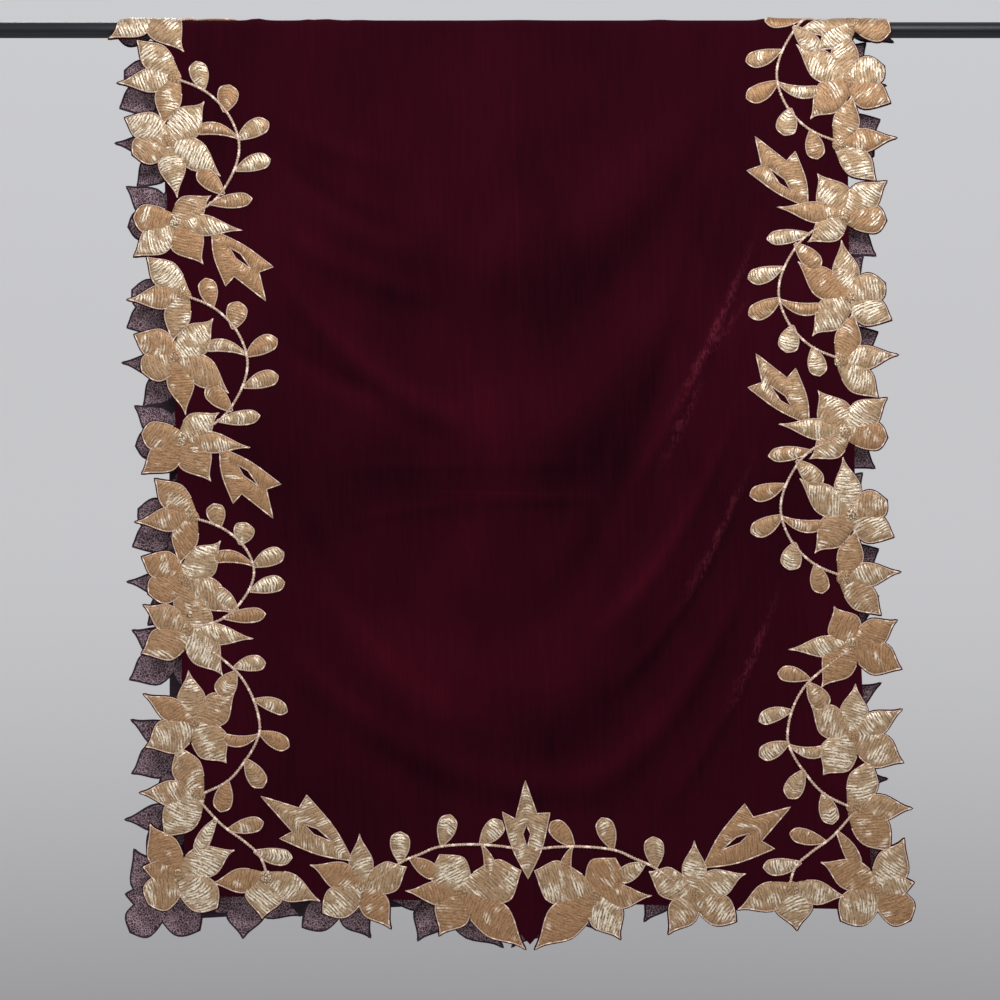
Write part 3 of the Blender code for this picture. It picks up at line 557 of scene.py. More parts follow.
def curve_through(points, steps):
    """A smooth line through a row of points."""
    p = np.array(points, float)
    p = np.vstack((2 * p[0] - p[1], p, 2 * p[-1] - p[-2]))
    line = []
    for i in range(1, len(p) - 2):
        for t in np.arange(steps) / steps:
            line.append(0.5 * (
                2 * p[i] + (p[i + 1] - p[i - 1]) * t
                + (2 * p[i - 1] - 5 * p[i] + 4 * p[i + 1] - p[i + 2]) * t ** 2
                + (3 * p[i] - p[i - 1] - 3 * p[i + 1] + p[i + 2]) * t ** 3))
    line.append(p[-2])
    return np.array(line)


def split_edges(loop, longest):
    """A closed loop with points added so that no edge is longer than longest."""
    points = []
    for a, b in zip(loop, np.roll(loop, -1, axis=0)):
        count = max(1, int(math.ceil(np.hypot(*(b - a)) / longest)))
        points += [a + (b - a) * i / count for i in range(count)]
    return np.array(points)


def fork_outline(row):
    """Points round a forked leaf, its outer sides gently curved, and round its slot."""
    foot = np.array(row["foot"], float)
    first, middle, last = (np.array(t, float) - foot for t in row["tips"])
    share, deep, shallow = FORK_NOTCHES
    notch_one = share * first + deep * middle
    notch_two = share * last + shallow * middle
    swell_one = FORK_SWELL * first - FORK_SPREAD * last
    swell_two = FORK_SWELL * last - FORK_SPREAD * first
    out_side = curve_through((np.zeros(2), swell_one, first), CURVE_STEPS)
    back_side = curve_through((last, swell_two, np.zeros(2)), CURVE_STEPS)
    outline = np.vstack((out_side, notch_one[None], middle[None], notch_two[None],
                         back_side[:-1])) + foot
    centre = np.array(row["slot"], float)
    along = np.array(row["slot_along"], float) / 2
    side = np.array((-along[1], along[0])) / np.hypot(*along) * row["slot_width"] / 2
    widest = centre - along * SLOT_WIDEST
    slot = np.array((centre - along, widest + side, centre + along, widest - side))
    return split_edges(outline, FORK_EDGE), split_edges(slot, FORK_EDGE)


def laid(points, unit, back):
    """Points of a unit carried to their place on the flat pattern, with its lean."""
    _, _, across, along, turn, mirror = unit
    points = np.asarray(points, float)
    points = np.array((across, along)) + (-points if turn else points)
    if mirror:
        points = points * (-1.0, 1.0)
    if back:
        longer = BACK_STRETCH + BACK_LEAN * points[:, 0]
        points = np.column_stack((-points[:, 0], -points[:, 1] * longer))
    return points + np.outer(points[:, 0], (0.0, SKEW))


def petal_rows(kind):
    """Root, tip and shape of every petal of one kind of unit."""
    rows = []
    for flower, centre in KINDS[kind]["flowers"]:
        for row in FLOWERS[flower]:
            end = (centre[0] + row["across"], centre[1] + row["along"])
            rows.append((centre, end, {**row, "foot": PETAL_FOOT, "bend": 0.0}))
    return rows


def leaf_rows(kind):
    """Root, end and shape of every leaf of one kind of unit."""
    squeeze = KINDS[kind].get("squeeze", 1.0)
    rows = []
    for row in KINDS[kind].get("leaves", ()):
        root = (row["root"][0], row["root"][1] * squeeze)
        end = (row["end"][0], row["end"][1] * squeeze)
        shape = {"width": row["width"], "bend": row["bend"], "belly": LEAF_BELLY,
                 "hook": 0.0, "blunt": 1.0, "foot": LEAF_FOOT}
        rows.append((root, end, shape))
    return rows


def inside(points, polygon):
    """Which of the points lie inside a polygon."""
    x, y = points.T
    found = np.zeros(len(points), bool)
    for (x0, y0), (x1, y1) in zip(polygon, np.roll(polygon, -1, axis=0)):
        if y0 != y1:
            crosses = (y0 > y) != (y1 > y)
            found ^= crosses & (x < (x1 - x0) * (y - y0) / (y1 - y0) + x0)
    return found


def edge_distance(points, loops):
    """Distance of each point to the nearest edge of the loops."""
    best = np.full(len(points), 1e9)
    for loop in loops:
        for a, b in zip(loop, np.roll(loop, -1, axis=0)):
            edge = b - a
            t = np.clip(((points - a) @ edge) / max(1e-12, float(edge @ edge)), 0.0, 1.0)
            best = np.minimum(best, np.hypot(*(points - a - t[:, None] * edge).T))
    return best


def triangulate(loops, extra):
    """Triangles over closed loops and extra points."""
    verts = []
    edges = []
    for loop in loops:
        first = len(verts)
        verts += [Vector(p) for p in loop]
        edges += [(first + i, first + (i + 1) % len(loop)) for i in range(len(loop))]
    verts += [Vector(p) for p in extra]
    out = delaunay_2d_cdt(verts, edges, [], 0, 1e-5)
    return np.array([(v.x, v.y) for v in out[0]]), np.array(out[2])


def used_only(points, faces):
    """Points that the faces use, with the faces numbered to match."""
    used = np.unique(faces)
    renumber = np.full(len(points), -1)
    renumber[used] = np.arange(len(used))
    return points[used], renumber[faces]


def open_edges(faces):
    """Directed edges that only one triangle uses."""
    pairs = np.vstack((faces[:, (0, 1)], faces[:, (1, 2)], faces[:, (2, 0)]))
    known = {(int(a), int(b)) for a, b in pairs}
    return [(a, b) for a, b in known if (b, a) not in known]


class Piecework:
    """Points, faces and marks of one piece while it is put together."""

    def __init__(self):
        self.points = []
        self.marks = []
        self.faces = []
        self.finishes = []
        self.count = 0

    def add(self, points, faces, marks, finish):
        """Adds faces and points with their marks: two map values, shade, knots and crown."""
        self.points.append(points)
        self.marks.append(np.column_stack(marks))
        self.faces += [tuple(self.count + i for i in face) for face in faces]
        self.finishes += [finish] * len(faces)
        self.count += len(points)

    def object(self, name, materials):
        """The finished piece as a smooth mesh object."""
        mesh = bpy.data.meshes.new(name)
        points = np.vstack(self.points)
        marks = np.vstack(self.marks).astype(np.float32)
        mesh.from_pydata(points.tolist(), [], self.faces)
        for material in materials:
            mesh.materials.append(material)
        mesh.polygons.foreach_set("material_index", np.array(self.finishes, np.int32))
        corner = np.zeros(len(mesh.loops), np.int32)
        mesh.loops.foreach_get("vertex_index", corner)
        layer = mesh.uv_layers.new(name="stitch")
        layer.data.foreach_set("uv", marks[corner, :2].ravel())
        for index, mark in ((2, "shade"), (3, "knots"), (4, "crown")):
            held = mesh.attributes.new(mark, "FLOAT", "POINT")
            held.data.foreach_set("value", marks[:, index].copy())
        mesh.shade_smooth()
        mesh.update()
        item = bpy.data.objects.new(name, mesh)
        bpy.context.scene.collection.objects.link(item)
        return item


def facing_out(faces, flat):
    """Faces turned so that they face away from the rod, by their winding on the pattern."""
    turned = []
    for face in faces:
        corners = flat[list(face)]
        ahead = np.roll(corners, -1, axis=0)
        area = float(np.sum(corners[:, 0] * ahead[:, 1] - ahead[:, 0] * corners[:, 1]))
        turned.append(tuple(face) if area < 0 else tuple(face)[::-1])
    return turned


def grid_faces(rows, columns):
    """Quads of a grid of points, row by row."""
    faces = []
    for i in range(rows - 1):
        for j in range(columns - 1):
            a = i * columns + j
            faces.append((a, a + 1, a + columns + 1, a + columns))
    return faces


def blade_grid(middle, half, side, tip, share):
    """Points of a petal or leaf, row by row, and its tip."""
    flat = middle[:, None, :] + side * (half[:, None] * share)[:, :, None]
    return np.vstack((flat.reshape(-1, 2), tip[None]))


def padding(inner):
    """Share of the padding's full height at a distance inside the edge."""
    return np.sin(np.clip(inner / PAD_SLOPE, 0.0, 1.0) * math.pi / 2)


def padded_blade(work, root, end, row, unit, back, sizes, stitch):
    """One petal or leaf: satin stitches over padding, down to the velvet at its edge."""
    rows, columns, lift = sizes
    stations = toward_tip(rows)
    middle, half, side, tip, length = blade_line(root, end, row, stations)
    share = np.sin(np.linspace(-math.pi / 2, math.pi / 2, columns))
    share = np.concatenate(([-1.0], share, [1.0]))
    flat = blade_grid(middle, half, side, tip, share)
    inner = np.minimum(half[:, None] * (1.0 - np.abs(share)),
                       ((1.0 - stations) * length * TIP_SLOPE)[:, None]) * UNIT
    if row["foot"] < PETAL_FOOT:
        inner = np.minimum(inner, (stations * length * TIP_SLOPE)[:, None] * UNIT)
    rise = padding(inner)
    height = PAD_RIM + (PAD_TOP - PAD_RIM) * rise + lift
    height[:, 0] = PAD_FOOT
    height[:, -1] = PAD_FOOT
    wide = columns + 2
    height = np.append(height.ravel(), PAD_RIM)
    faces = grid_faces(rows, wide)
    last = (rows - 1) * wide
    faces += [(last + j, last + j + 1, rows * wide) for j in range(1, wide - 2)]
    placed = laid(flat, unit, back)
    points, _ = on_cloth(placed, height)
    ahead = np.append(np.repeat(stations * length, wide), length) * UNIT
    aside = np.append((half[:, None] * share).ravel(), 0.0) * UNIT
    angle, bow, start, shade = stitch
    if row["foot"] < PETAL_FOOT:
        across_stitch = ahead + np.abs(aside) * math.tan(angle)
        along_stitch = aside
    else:
        across_stitch = ahead * math.cos(angle) + aside * math.sin(angle) + bow * aside ** 2
        along_stitch = aside * math.cos(angle) - ahead * math.sin(angle)
    crown = np.append(rise.ravel(), 0.0)
    marks = (across_stitch + start, along_stitch + start * 0.37,
             np.full(len(points), shade), np.zeros(len(points)), crown)
    work.add(points, winding(faces, placed, wide), marks, 0)


def winding(faces, placed, wide):
    """Faces of a blade's grid facing out; its two steep edge columns follow their row."""
    a, b, c = faces[wide // 2][:3]
    first = placed[b] - placed[a]
    second = placed[c] - placed[a]
    if first[0] * second[1] - first[1] * second[0] > 0:
        return [face[::-1] for face in faces]
    return faces


def flat_blade(work, root, end, row, unit, back):
    """The reverse of one petal or leaf, on the wrong side of the velvet."""
    rows, columns = REVERSE_GRID
    middle, half, side, tip, _ = blade_line(root, end, row, toward_tip(rows))
    flat = blade_grid(middle, half, side, tip, np.linspace(-1.0, 1.0, columns))
    last = (rows - 1) * columns
    faces = grid_faces(rows, columns)
    faces += [(last + j, last + j + 1, len(flat) - 1) for j in range(columns - 1)]
    add_reverse(work, flat, faces, unit, back)


def add_reverse(work, flat, faces, unit, back):
    """Flat stitching on the wrong side, mapped by its place on the cloth."""
    placed = laid(flat, unit, back)
    points, _ = on_cloth(placed, REVERSE_LIFT)
    faces = [face[::-1] for face in facing_out(faces, placed)]
    zero = np.zeros(len(points))
    marks = (placed[:, 0] * UNIT, placed[:, 1] * UNIT, zero, zero, zero)
    work.add(points, faces, marks, 2)


def couched_cord(work, flat, unit, back, radius, lift, closed, twist=None):
    """A cord sewn along a line; twist = the length of one turn of its two strands."""
    placed = laid(flat, unit, back)
    points, out = on_cloth(placed, lift)
    ahead = np.roll(points, -1, axis=0) - np.roll(points, 1, axis=0)
    if not closed:
        ahead[0] = points[1] - points[0]
        ahead[-1] = points[-1] - points[-2]
    ahead /= np.linalg.norm(ahead, axis=1)[:, None]
    beside = np.cross(ahead, out)
    beside /= np.linalg.norm(beside, axis=1)[:, None]
    up = np.cross(beside, ahead)
    steps = np.linalg.norm(np.diff(points, axis=0), axis=1)
    run = np.concatenate(([0.0], np.cumsum(steps)))
    sides = CORD_SIDES if twist is None else TWISTED_SIDES
    angle = np.arange(sides) * 2.0 * math.pi / sides
    size = np.full((len(points), sides), radius)
    if twist is not None:
        lay = angle[None, :] - run[:, None] * 2.0 * math.pi / twist
        size = radius * (1.0 + STRAND_DEPTH * np.cos(2.0 * lay))
    ring = beside[:, None, :] * np.cos(angle)[None, :, None]
    ring = ring + up[:, None, :] * np.sin(angle)[None, :, None]
    tube = (points[:, None, :] + ring * size[:, :, None]).reshape(-1, 3)
    count = len(points)
    faces = []
    for i in range(count if closed else count - 1):
        first, second = i * sides, (i + 1) % count * sides
        for k in range(sides):
            m = (k + 1) % sides
            faces.append((first + k, second + k, second + m, first + m))
    if not closed:
        faces.append(tuple(range(sides)))
        faces.append(tuple((count - 1) * sides + k for k in reversed(range(sides))))
    zero = np.zeros(len(tube))
    marks = (np.repeat(run, sides), np.tile(angle / (2.0 * math.pi), count), zero, zero, zero)
    work.add(tube, faces, marks, 1)


def padded_fork(work, row, unit, back, stitch, gold):
    """A forked leaf with its slot, outlined in cord."""
    outline, slot = fork_outline(row)
    low = outline.min(axis=0)
    high = outline.max(axis=0)
    extra = np.array([(x, y) for x in np.arange(low[0], high[0], FORK_STEP)
                      for y in np.arange(low[1], high[1], FORK_STEP)])
    loops = [outline, slot]
    fits = on_ground(extra, loops) & (edge_distance(extra, loops) > FORK_CLEAR)
    points, faces = triangulate(loops, extra[fits])
    points, faces = used_only(points, faces[on_ground(points[faces].mean(axis=1), loops)])
    rise = padding(edge_distance(points, loops) * UNIT)
    height = PAD_RIM + (PAD_TOP - PAD_RIM) * rise
    placed = laid(points, unit, back)
    space, _ = on_cloth(placed, height)
    foot = np.array(row["foot"], float)
    axis = np.array(row["tips"][1], float) - foot
    axis /= np.hypot(*axis)
    ahead = (points - foot) @ axis * UNIT
    aside = (points - foot) @ np.array((-axis[1], axis[0])) * UNIT
    angle, _, start, shade = stitch
    marks = (ahead + np.abs(aside) * math.tan(angle) + start, aside,
             np.full(len(points), shade), np.zeros(len(points)), rise)
    work.add(space, facing_out(faces.tolist(), placed), marks, 0)
    add_reverse(work, points, faces.tolist(), unit, back)
    for loop in loops:
        couched_cord(work, loop, unit, back, gold.cord_radius, cord_lift(gold), True)


def flower_eye(work, centre, unit, back, start):
    """The stippled middle of a flower."""
    turn = np.arange(EYE_SIDES) * 2.0 * math.pi / EYE_SIDES
    size = EYE_RADIUS * (1.0 + EYE_WOBBLE * np.sin(turn * 3 + start * 40))
    round_it = np.column_stack((np.cos(turn), np.sin(turn))) * size[:, None]
    flat = np.vstack([np.zeros((1, 2))] + [round_it * ring["reach"] for ring in EYE_RINGS])
    flat += centre
    rise = [1.0] + [ring["rise"] for ring in EYE_RINGS for _ in turn]
    height = PAD_RIM + (EYE_TOP - PAD_RIM) * np.array(rise)
    faces = []
    for k in range(EYE_SIDES):
        a, b = 1 + k, 1 + (k + 1) % EYE_SIDES
        faces.append((0, a, b))
        for first in range(0, EYE_SIDES * (len(EYE_RINGS) - 1), EYE_SIDES):
            outer = first + EYE_SIDES
            faces.append((a + first, a + outer, b + outer, b + first))
    placed = laid(flat, unit, back)
    points, _ = on_cloth(placed, height)
    local = (flat - flat[0]) * UNIT + start
    one = np.ones(len(points))
    marks = (local[:, 0], local[:, 1], one * 0.5, one, one)
    work.add(points, facing_out(faces, placed), marks, 0)


def cord_lift(gold):
    """How high the middle of an outline cord lies."""
    return VELVET_FACE + gold.cord_radius * 1.25


def border_unit(name, unit, back, gold, materials):
    """All the stitching of one unit of the border as one piece."""
    draw = random.Random(name)
    kind = unit[1]
    work = Piecework()
    blades = [(row, PETAL_GRID, OUTLINE_START) for row in petal_rows(kind)]
    blades += [(row, LEAF_GRID, 0.0) for row in leaf_rows(kind)]
    for number, ((root, end, row), sizes, start) in enumerate(blades):
        angle = draw.uniform(-0.75, 0.75) if start else draw.uniform(0.05, 0.45)
        stitch = (angle, draw.uniform(-14.0, 14.0), draw.uniform(0.0, 3.0), draw.random())
        lift = (number % 5) * PAD_STAGGER
        padded_blade(work, root, end, row, unit, back, (*sizes, lift), stitch)
        flat_blade(work, root, end, row, unit, back)
        outline = blade_outline(root, end, row, OUTLINE_STEPS, 0.0, start)
        couched_cord(work, outline, unit, back, gold.cord_radius, cord_lift(gold) + lift,
                     not start)
    for _, centre in KINDS[kind]["flowers"]:
        flower_eye(work, centre, unit, back, draw.uniform(0.0, 3.0))
    fork = KINDS[kind].get("fork")
    if fork:
        stitch = (draw.uniform(0.35, 0.7), 0.0, draw.uniform(0.0, 3.0), draw.random())
        padded_fork(work, fork, unit, back, stitch, gold)
    vine = KINDS[kind].get("vine")
    if vine:
        squeeze = KINDS[kind].get("squeeze", 1.0)
        line = curve_through([(p[0], p[1] * squeeze) for p in vine], VINE_STEPS)
        radius = gold.vine_width / 2
        couched_cord(work, line, unit, back, radius, VELVET_FACE + radius * 0.85, False,
                     gold.vine_twist)
    item = work.object(name, materials)
    item.data.set_sharp_from_angle(angle=SHARP_STITCHING)
    return item


def ground_polygons():
    """The velvet's cut on both falls: every petal with its margin, and the plain panel."""
    polygons = []
    for back in (False, True):
        for unit in UNITS:
            for root, end, row in petal_rows(unit[1]):
                outline = blade_outline(root, end, row, CUT_STEPS, GROUND_MARGIN)
                polygons.append(laid(outline, unit, back))
    still = ("", "", 0.0, 0.0, False, False)
    ends = ((PANEL_HALF_WIDTH, PANEL_END), (-PANEL_HALF_WIDTH, PANEL_END))
    top = PANEL_END - HEM_POINT_OVERLAP
    point = ((-HEM_POINT_HALF, top), (HEM_POINT_HALF, top), (0.0, HEM_POINT))
    polygons.append(np.vstack((laid(ends, still, True), laid(ends, still, False))))
    polygons.append(laid(point, still, False))
    polygons.append(laid(point, still, True))
    return polygons


def closed_loops(points, faces):
    """The loops round a set of triangles; where two touch, the sharpest turn is taken."""
    follow = {}
    for a, b in sorted(open_edges(faces)):
        follow.setdefault(a, []).append(b)
    loops = []
    while follow:
        start = next(iter(follow))
        loop = [start]
        before = None
        while True:
            current = loop[-1]
            choices = follow[current]
            nxt = choices[0]
            if len(choices) > 1 and before is not None:
                back = points[before] - points[current]
                base = math.atan2(back[1], back[0])
                turns = []
                for choice in choices:
                    ahead = points[choice] - points[current]
                    turns.append((base - math.atan2(ahead[1], ahead[0])) % (2.0 * math.pi))
                nxt = choices[int(np.argmin(turns))]
            choices.remove(nxt)
            if not choices:
                del follow[current]
            if nxt == start:
                break
            before = current
            loop.append(nxt)
        loops.append(points[loop])
    return loops


def loop_area(loop):
    """Signed area of a loop."""
    ahead = np.roll(loop, -1, axis=0)
    return 0.5 * float(np.sum(loop[:, 0] * ahead[:, 1] - ahead[:, 0] * loop[:, 1]))


def without_short_edges(loop):
    """A loop without points that crowd the one before."""
    kept = [loop[0]]
    for p in loop[1:]:
        if np.hypot(*(p - kept[-1])) >= SHORTEST_EDGE:
            kept.append(p)
    if np.hypot(*(kept[-1] - kept[0])) < SHORTEST_EDGE:
        kept.pop()
    return np.array(kept)


def on_ground(points, loops):
    """Which of the points lie inside the first loop and outside the others."""
    found = inside(points, loops[0])
    for hole in loops[1:]:
        found &= ~inside(points, hole)
    return found


def velvet_rows(low, high, step):
    """Rows of mesh points along the cloth, closer together where it bends over the rod."""
    rows = list(np.linspace(-BEND_HALF, BEND_HALF, BEND_ROWS) / UNIT)
    for direction, end in ((1.0, high), (-1.0, -low)):
        at = BEND_HALF / UNIT
        while at < end:
            at += min(step, FIRST_ROW + (at - BEND_HALF / UNIT) * ROW_GROWTH)
            rows.append(direction * at)
    return sorted(rows)


def velvet_pattern(step):
    """Points and triangles of the flat cut, fine enough to take the folds."""
    polygons = ground_polygons()
    points, faces = triangulate(polygons, [])
    middles = points[faces].mean(axis=1)
    keep = np.zeros(len(faces), bool)
    for polygon in polygons:
        keep |= inside(middles, polygon)
    loops = closed_loops(points, faces[keep])
    outer = max(loops, key=loop_area)
    holes = [loop for loop in loops
             if loop_area(loop) < -SMALLEST_HOLE and inside(loop[:1], outer)[0]]
    loops = [split_edges(without_short_edges(loop), step * EDGE_SHARE)
             for loop in [outer] + holes]
    near = kdtree.KDTree(sum(len(loop) for loop in loops))
    for index, p in enumerate(np.vstack(loops)):
        near.insert((p[0], p[1], 0.0), index)
    near.balance()
    low = outer.min(axis=0)
    high = outer.max(axis=0)
    grid = []
    for along in velvet_rows(low[1], high[1], step):
        for across in np.arange(low[0], high[0], step):
            if near.find((across, along, 0.0))[2] > step * CLEAR_SHARE:
                grid.append((across, along))
    grid = np.array(grid)
    points, faces = triangulate(loops, grid[on_ground(grid, loops)])
    return used_only(points, faces[on_ground(points[faces].mean(axis=1), loops)])


def painted_slope_light_of(points):
    """Painted light and shade on the pile, from how the cloth slopes: 0 shaded to 1 lit."""
    across, along = points.T * UNIT
    step = np.sign(along) * SLOPE_LIGHT_STEP
    rise = stand_out(across, along + step) - stand_out(across, along - step)
    return np.clip(0.5 + rise / (2.0 * SLOPE_LIGHT_STEP) * SLOPE_LIGHT_CONTRAST, 0.0, 1.0)


class Amount:
    """A number that changes over a surface; Python's arithmetic on it adds Math nodes."""

    def __init__(self, finish, socket):
        self.finish = finish
        self.socket = socket

    def maths(self, operation, first, second=0.0):
        """One Math node on two values."""
        return self.finish.node("ShaderNodeMath", {"operation": operation},
                                {0: first, 1: second})

    def __add__(self, other):
        return self.maths("ADD", self, other)

    __radd__ = __add__

    def __sub__(self, other):
        return self.maths("SUBTRACT", self, other)

    def __rsub__(self, other):
        return self.maths("SUBTRACT", other, self)

    def __mul__(self, other):
        return self.maths("MULTIPLY", self, other)

    __rmul__ = __mul__

    def __truediv__(self, other):
        return self.maths("DIVIDE", self, other)

    def __rtruediv__(self, other):
        return self.maths("DIVIDE", other, self)

    def wave(self):
        """Sine of the value, from 0 to 1."""
        return self.maths("SINE", self) * 0.5 + 0.5

    def size(self):
        """The value without its sign."""
        return self.maths("ABSOLUTE", self)

    def between(self, low, high):
        """Smooth rise from 0 at low to 1 at high."""
        return self.finish.node("ShaderNodeMapRange", {"interpolation_type": "SMOOTHSTEP"},
                                {"Value": self, "From Min": low, "From Max": high})

    def hump(self, middle, half):
        """1 at middle, falling smoothly to 0 at half to each side."""
        return 1.0 - (self - middle).size().between(0.0, half)


class Finish:
    """The nodes of one material, or of the world."""

    def __init__(self, name, kind="materials"):
        self.owner = getattr(bpy.data, kind).new(name)
        self.owner.use_nodes = True
        self.tree = self.owner.node_tree
        self.tree.nodes.clear()

    def node(self, kind, settings=None, sockets=None, output=0):
        """One node: its type, its settings, and values or links for its sockets."""
        made = self.tree.nodes.new(kind)
        for key, value in (settings or {}).items():
            setattr(made, key, value)
        for key, value in (sockets or {}).items():
            if isinstance(value, Amount):
                self.tree.links.new(value.socket, made.inputs[key])
            else:
                solid = (*value, 1.0) if isinstance(value, Color) else value
                made.inputs[key].default_value = solid
        return Amount(self, made.outputs[output]) if made.outputs else None

    def map(self):
        """The piece's own map, and its two numbers."""
        place = self.node("ShaderNodeUVMap", {"uv_map": "stitch"})
        parts = self.node("ShaderNodeSeparateXYZ", {}, {0: place})
        return place, parts, Amount(self, parts.socket.node.outputs[1])

    def mark(self, name):
        """A number kept on the mesh."""
        return self.node("ShaderNodeAttribute", {"attribute_name": name}, {}, "Fac")

    def noise(self, place, across, along, detail=2.0, rough=0.5):
        """Noise on the map, stretched by its two frequencies per metre."""
        stretched = self.node("ShaderNodeVectorMath", {"operation": "MULTIPLY"},
                              {0: place, 1: (across, along, 1.0)})
        return self.node("ShaderNodeTexNoise", {"noise_dimensions": "2D"},
                         {"Vector": stretched, "Scale": 1.0, "Detail": detail,
                          "Roughness": rough}, "Fac")

    def cells(self, place, scale, feature, output):
        """Round or net-like cells on the map."""
        return self.node("ShaderNodeTexVoronoi",
                         {"voronoi_dimensions": "2D", "feature": feature},
                         {"Vector": place, "Scale": scale}, output)

    def blend(self, share, first, second):
        """A colour between two others."""
        return self.node("ShaderNodeMix", {"data_type": "RGBA"},
                         {0: share, 6: first, 7: second}, 2)

    def bump(self, height, distance, strength=1.0):
        """Fine relief for the shader's normal."""
        return self.node("ShaderNodeBump", {}, {"Height": height, "Distance": distance,
                                                "Strength": strength})

    def surface(self, sockets):
        """The shader and the output; the finished material."""
        shader = self.node("ShaderNodeBsdfPrincipled", {}, sockets)
        self.node("ShaderNodeOutputMaterial", {}, {"Surface": shader})
        return self.owner


def gold_stitch_finish(gold):
    """Metal thread in satin stitch: lines across each petal, with painted glints and painted
    shade between the threads and towards each rim.
    """
    finish = Finish("gold_satin_stitch")
    place, over, _ = finish.map()
    shade = finish.mark("shade")
    knots = finish.mark("knots")
    crown = finish.mark("crown")
    wander = finish.noise(place, 75.0, 24.0, 2.0, 0.6)
    rows = finish.noise(place, 440.0, 95.0, 2.0, 0.6).between(0.34, 0.66)
    grain = finish.noise(place, 760.0, 300.0, 2.0, 0.6)
    speck = finish.noise(place, 900.0, 900.0, 1.0, 0.6)
    clump = finish.noise(place, 66.0, 44.0, 1.0, 0.5)
    line = (over * (2.0 * math.pi / gold.stitch_pitch) + wander * 9.0).wave()
    spots = finish.cells(place, 400.0, "F1", "Distance")
    knot = 1.0 - spots.between(0.12, 0.60)
    # Patches where the thread is painted with highlights, most on the padded tops.
    highlight_patch = (clump * 1.15 + shade * 0.34 + crown * 0.14).between(0.86, 1.08)
    weave = line * (highlight_patch * 0.16 + 0.20) + rows * 0.34
    weave = weave * (1.0 - knots) + knot * knots * 0.5
    thread = weave + (grain - 0.5) * 0.9 + (speck - 0.5) * 0.5 + 0.18
    # Painted shade in the gaps between the threads.
    gap = 1.0 - thread.between(0.10, 0.58)
    # Painted shade towards each petal's rim, where the padding falls to the velvet.
    rim = 1.0 - crown.between(0.0, 0.8)
    # Each petal's random shade mark sets its thread between a warm, dull tone and a paler,
    # brighter one; the paler one is partly the thread's tone and partly painted reflection.
    body = finish.blend(shade.between(0.1, 0.9), gold.warm, gold.body)
    # Painted highlight: the thread lightened inside the highlight patches.
    body = finish.blend(highlight_patch * 0.17, body, gold.glint)
    # Painted shade: the gaps and the rim blended towards the deep gold.
    body = finish.blend(gap * (highlight_patch * 0.18 + 0.72) + rim * 0.20, body, gold.shadow)
    # Painted glints: bright dashes, strong in the highlight patches and sparse elsewhere.
    glint_dash = thread.between(0.72, 0.95) * 0.38
    glint = thread.between(0.46, 0.82) * (highlight_patch * 0.88) + glint_dash * (1.0 - highlight_patch)
    tinted = finish.blend(glint, body, gold.glint)
    return finish.surface({
        "Base Color": tinted, "Metallic": 0.55, "Roughness": 0.52 - glint * 0.18,
        "Normal": finish.bump(thread, 0.00042, 0.8),
        "Specular IOR Level": 0.35,
    })


def gold_cord_finish(gold):
    """Twisted metal cord with a rosy tinge, painted lighter on its strands and beads and
    darker in the grooves between strands.
    """
    finish = Finish("gold_couched_cord")
    place, run, round_it = finish.map()
    twist = ((run / 0.0026 + round_it) * (2.0 * math.pi)).wave()
    # Slow change along the cord, in its painted shine and its roughness.
    shine_and_roughness = finish.noise(place, 120.0, 1.5, 2.0, 0.6)
    bead_glint = finish.noise(place, 95.0, 0.5, 1.0, 0.5).between(0.54, 0.66)
    # Painted light and shade: strands and bright beads lighter, the grooves between strands
    # darker.
    shine = (twist * 0.34 + shine_and_roughness * 0.50 + bead_glint * 0.62).between(0.22, 1.05)
    tinted = finish.blend(shine, gold.cord_painted_shade, gold.cord_painted_light)
    return finish.surface({
        "Base Color": tinted, "Metallic": 0.35, "Roughness": 0.45 + shine_and_roughness * 0.12,
        "Normal": finish.bump(twist, 0.00020, 0.7),
        "Specular IOR Level": 0.35,
    })


def reverse_finish(cloth):
    """The reverse of the embroidery: a net of grey-violet backing threads over dark plum."""
    finish = Finish("reverse_of_stitching")
    place, _, _ = finish.map()
    sway = finish.node("ShaderNodeTexNoise", {"noise_dimensions": "2D"},
                       {"Vector": place, "Scale": 130.0, "Detail": 2.0}, "Color")
    moved = finish.node("ShaderNodeVectorMath", {"operation": "MULTIPLY_ADD"},
                        {0: sway, 1: (0.008, 0.008, 0.0), 2: place})
    cells = finish.cells(moved, 300.0, "DISTANCE_TO_EDGE", "Distance")
    net = 1.0 - cells.between(0.0, 0.20)
    fuzz = finish.noise(place, 900.0, 500.0, 3.0, 0.6)
    broad = finish.noise(place, 60.0, 60.0, 2.0, 0.5)
    share = (net * 0.60 + fuzz * 1.00 + broad * 0.70 - 0.70).between(0.02, 0.98)
    tinted = finish.blend(share, cloth.reverse_dark, cloth.reverse_light)
    return finish.surface({
        "Base Color": tinted, "Roughness": 0.85, "Specular IOR Level": 0.15,
        "Normal": finish.bump(net * 0.6 + fuzz * 0.4, 0.0003, 0.6),
    })


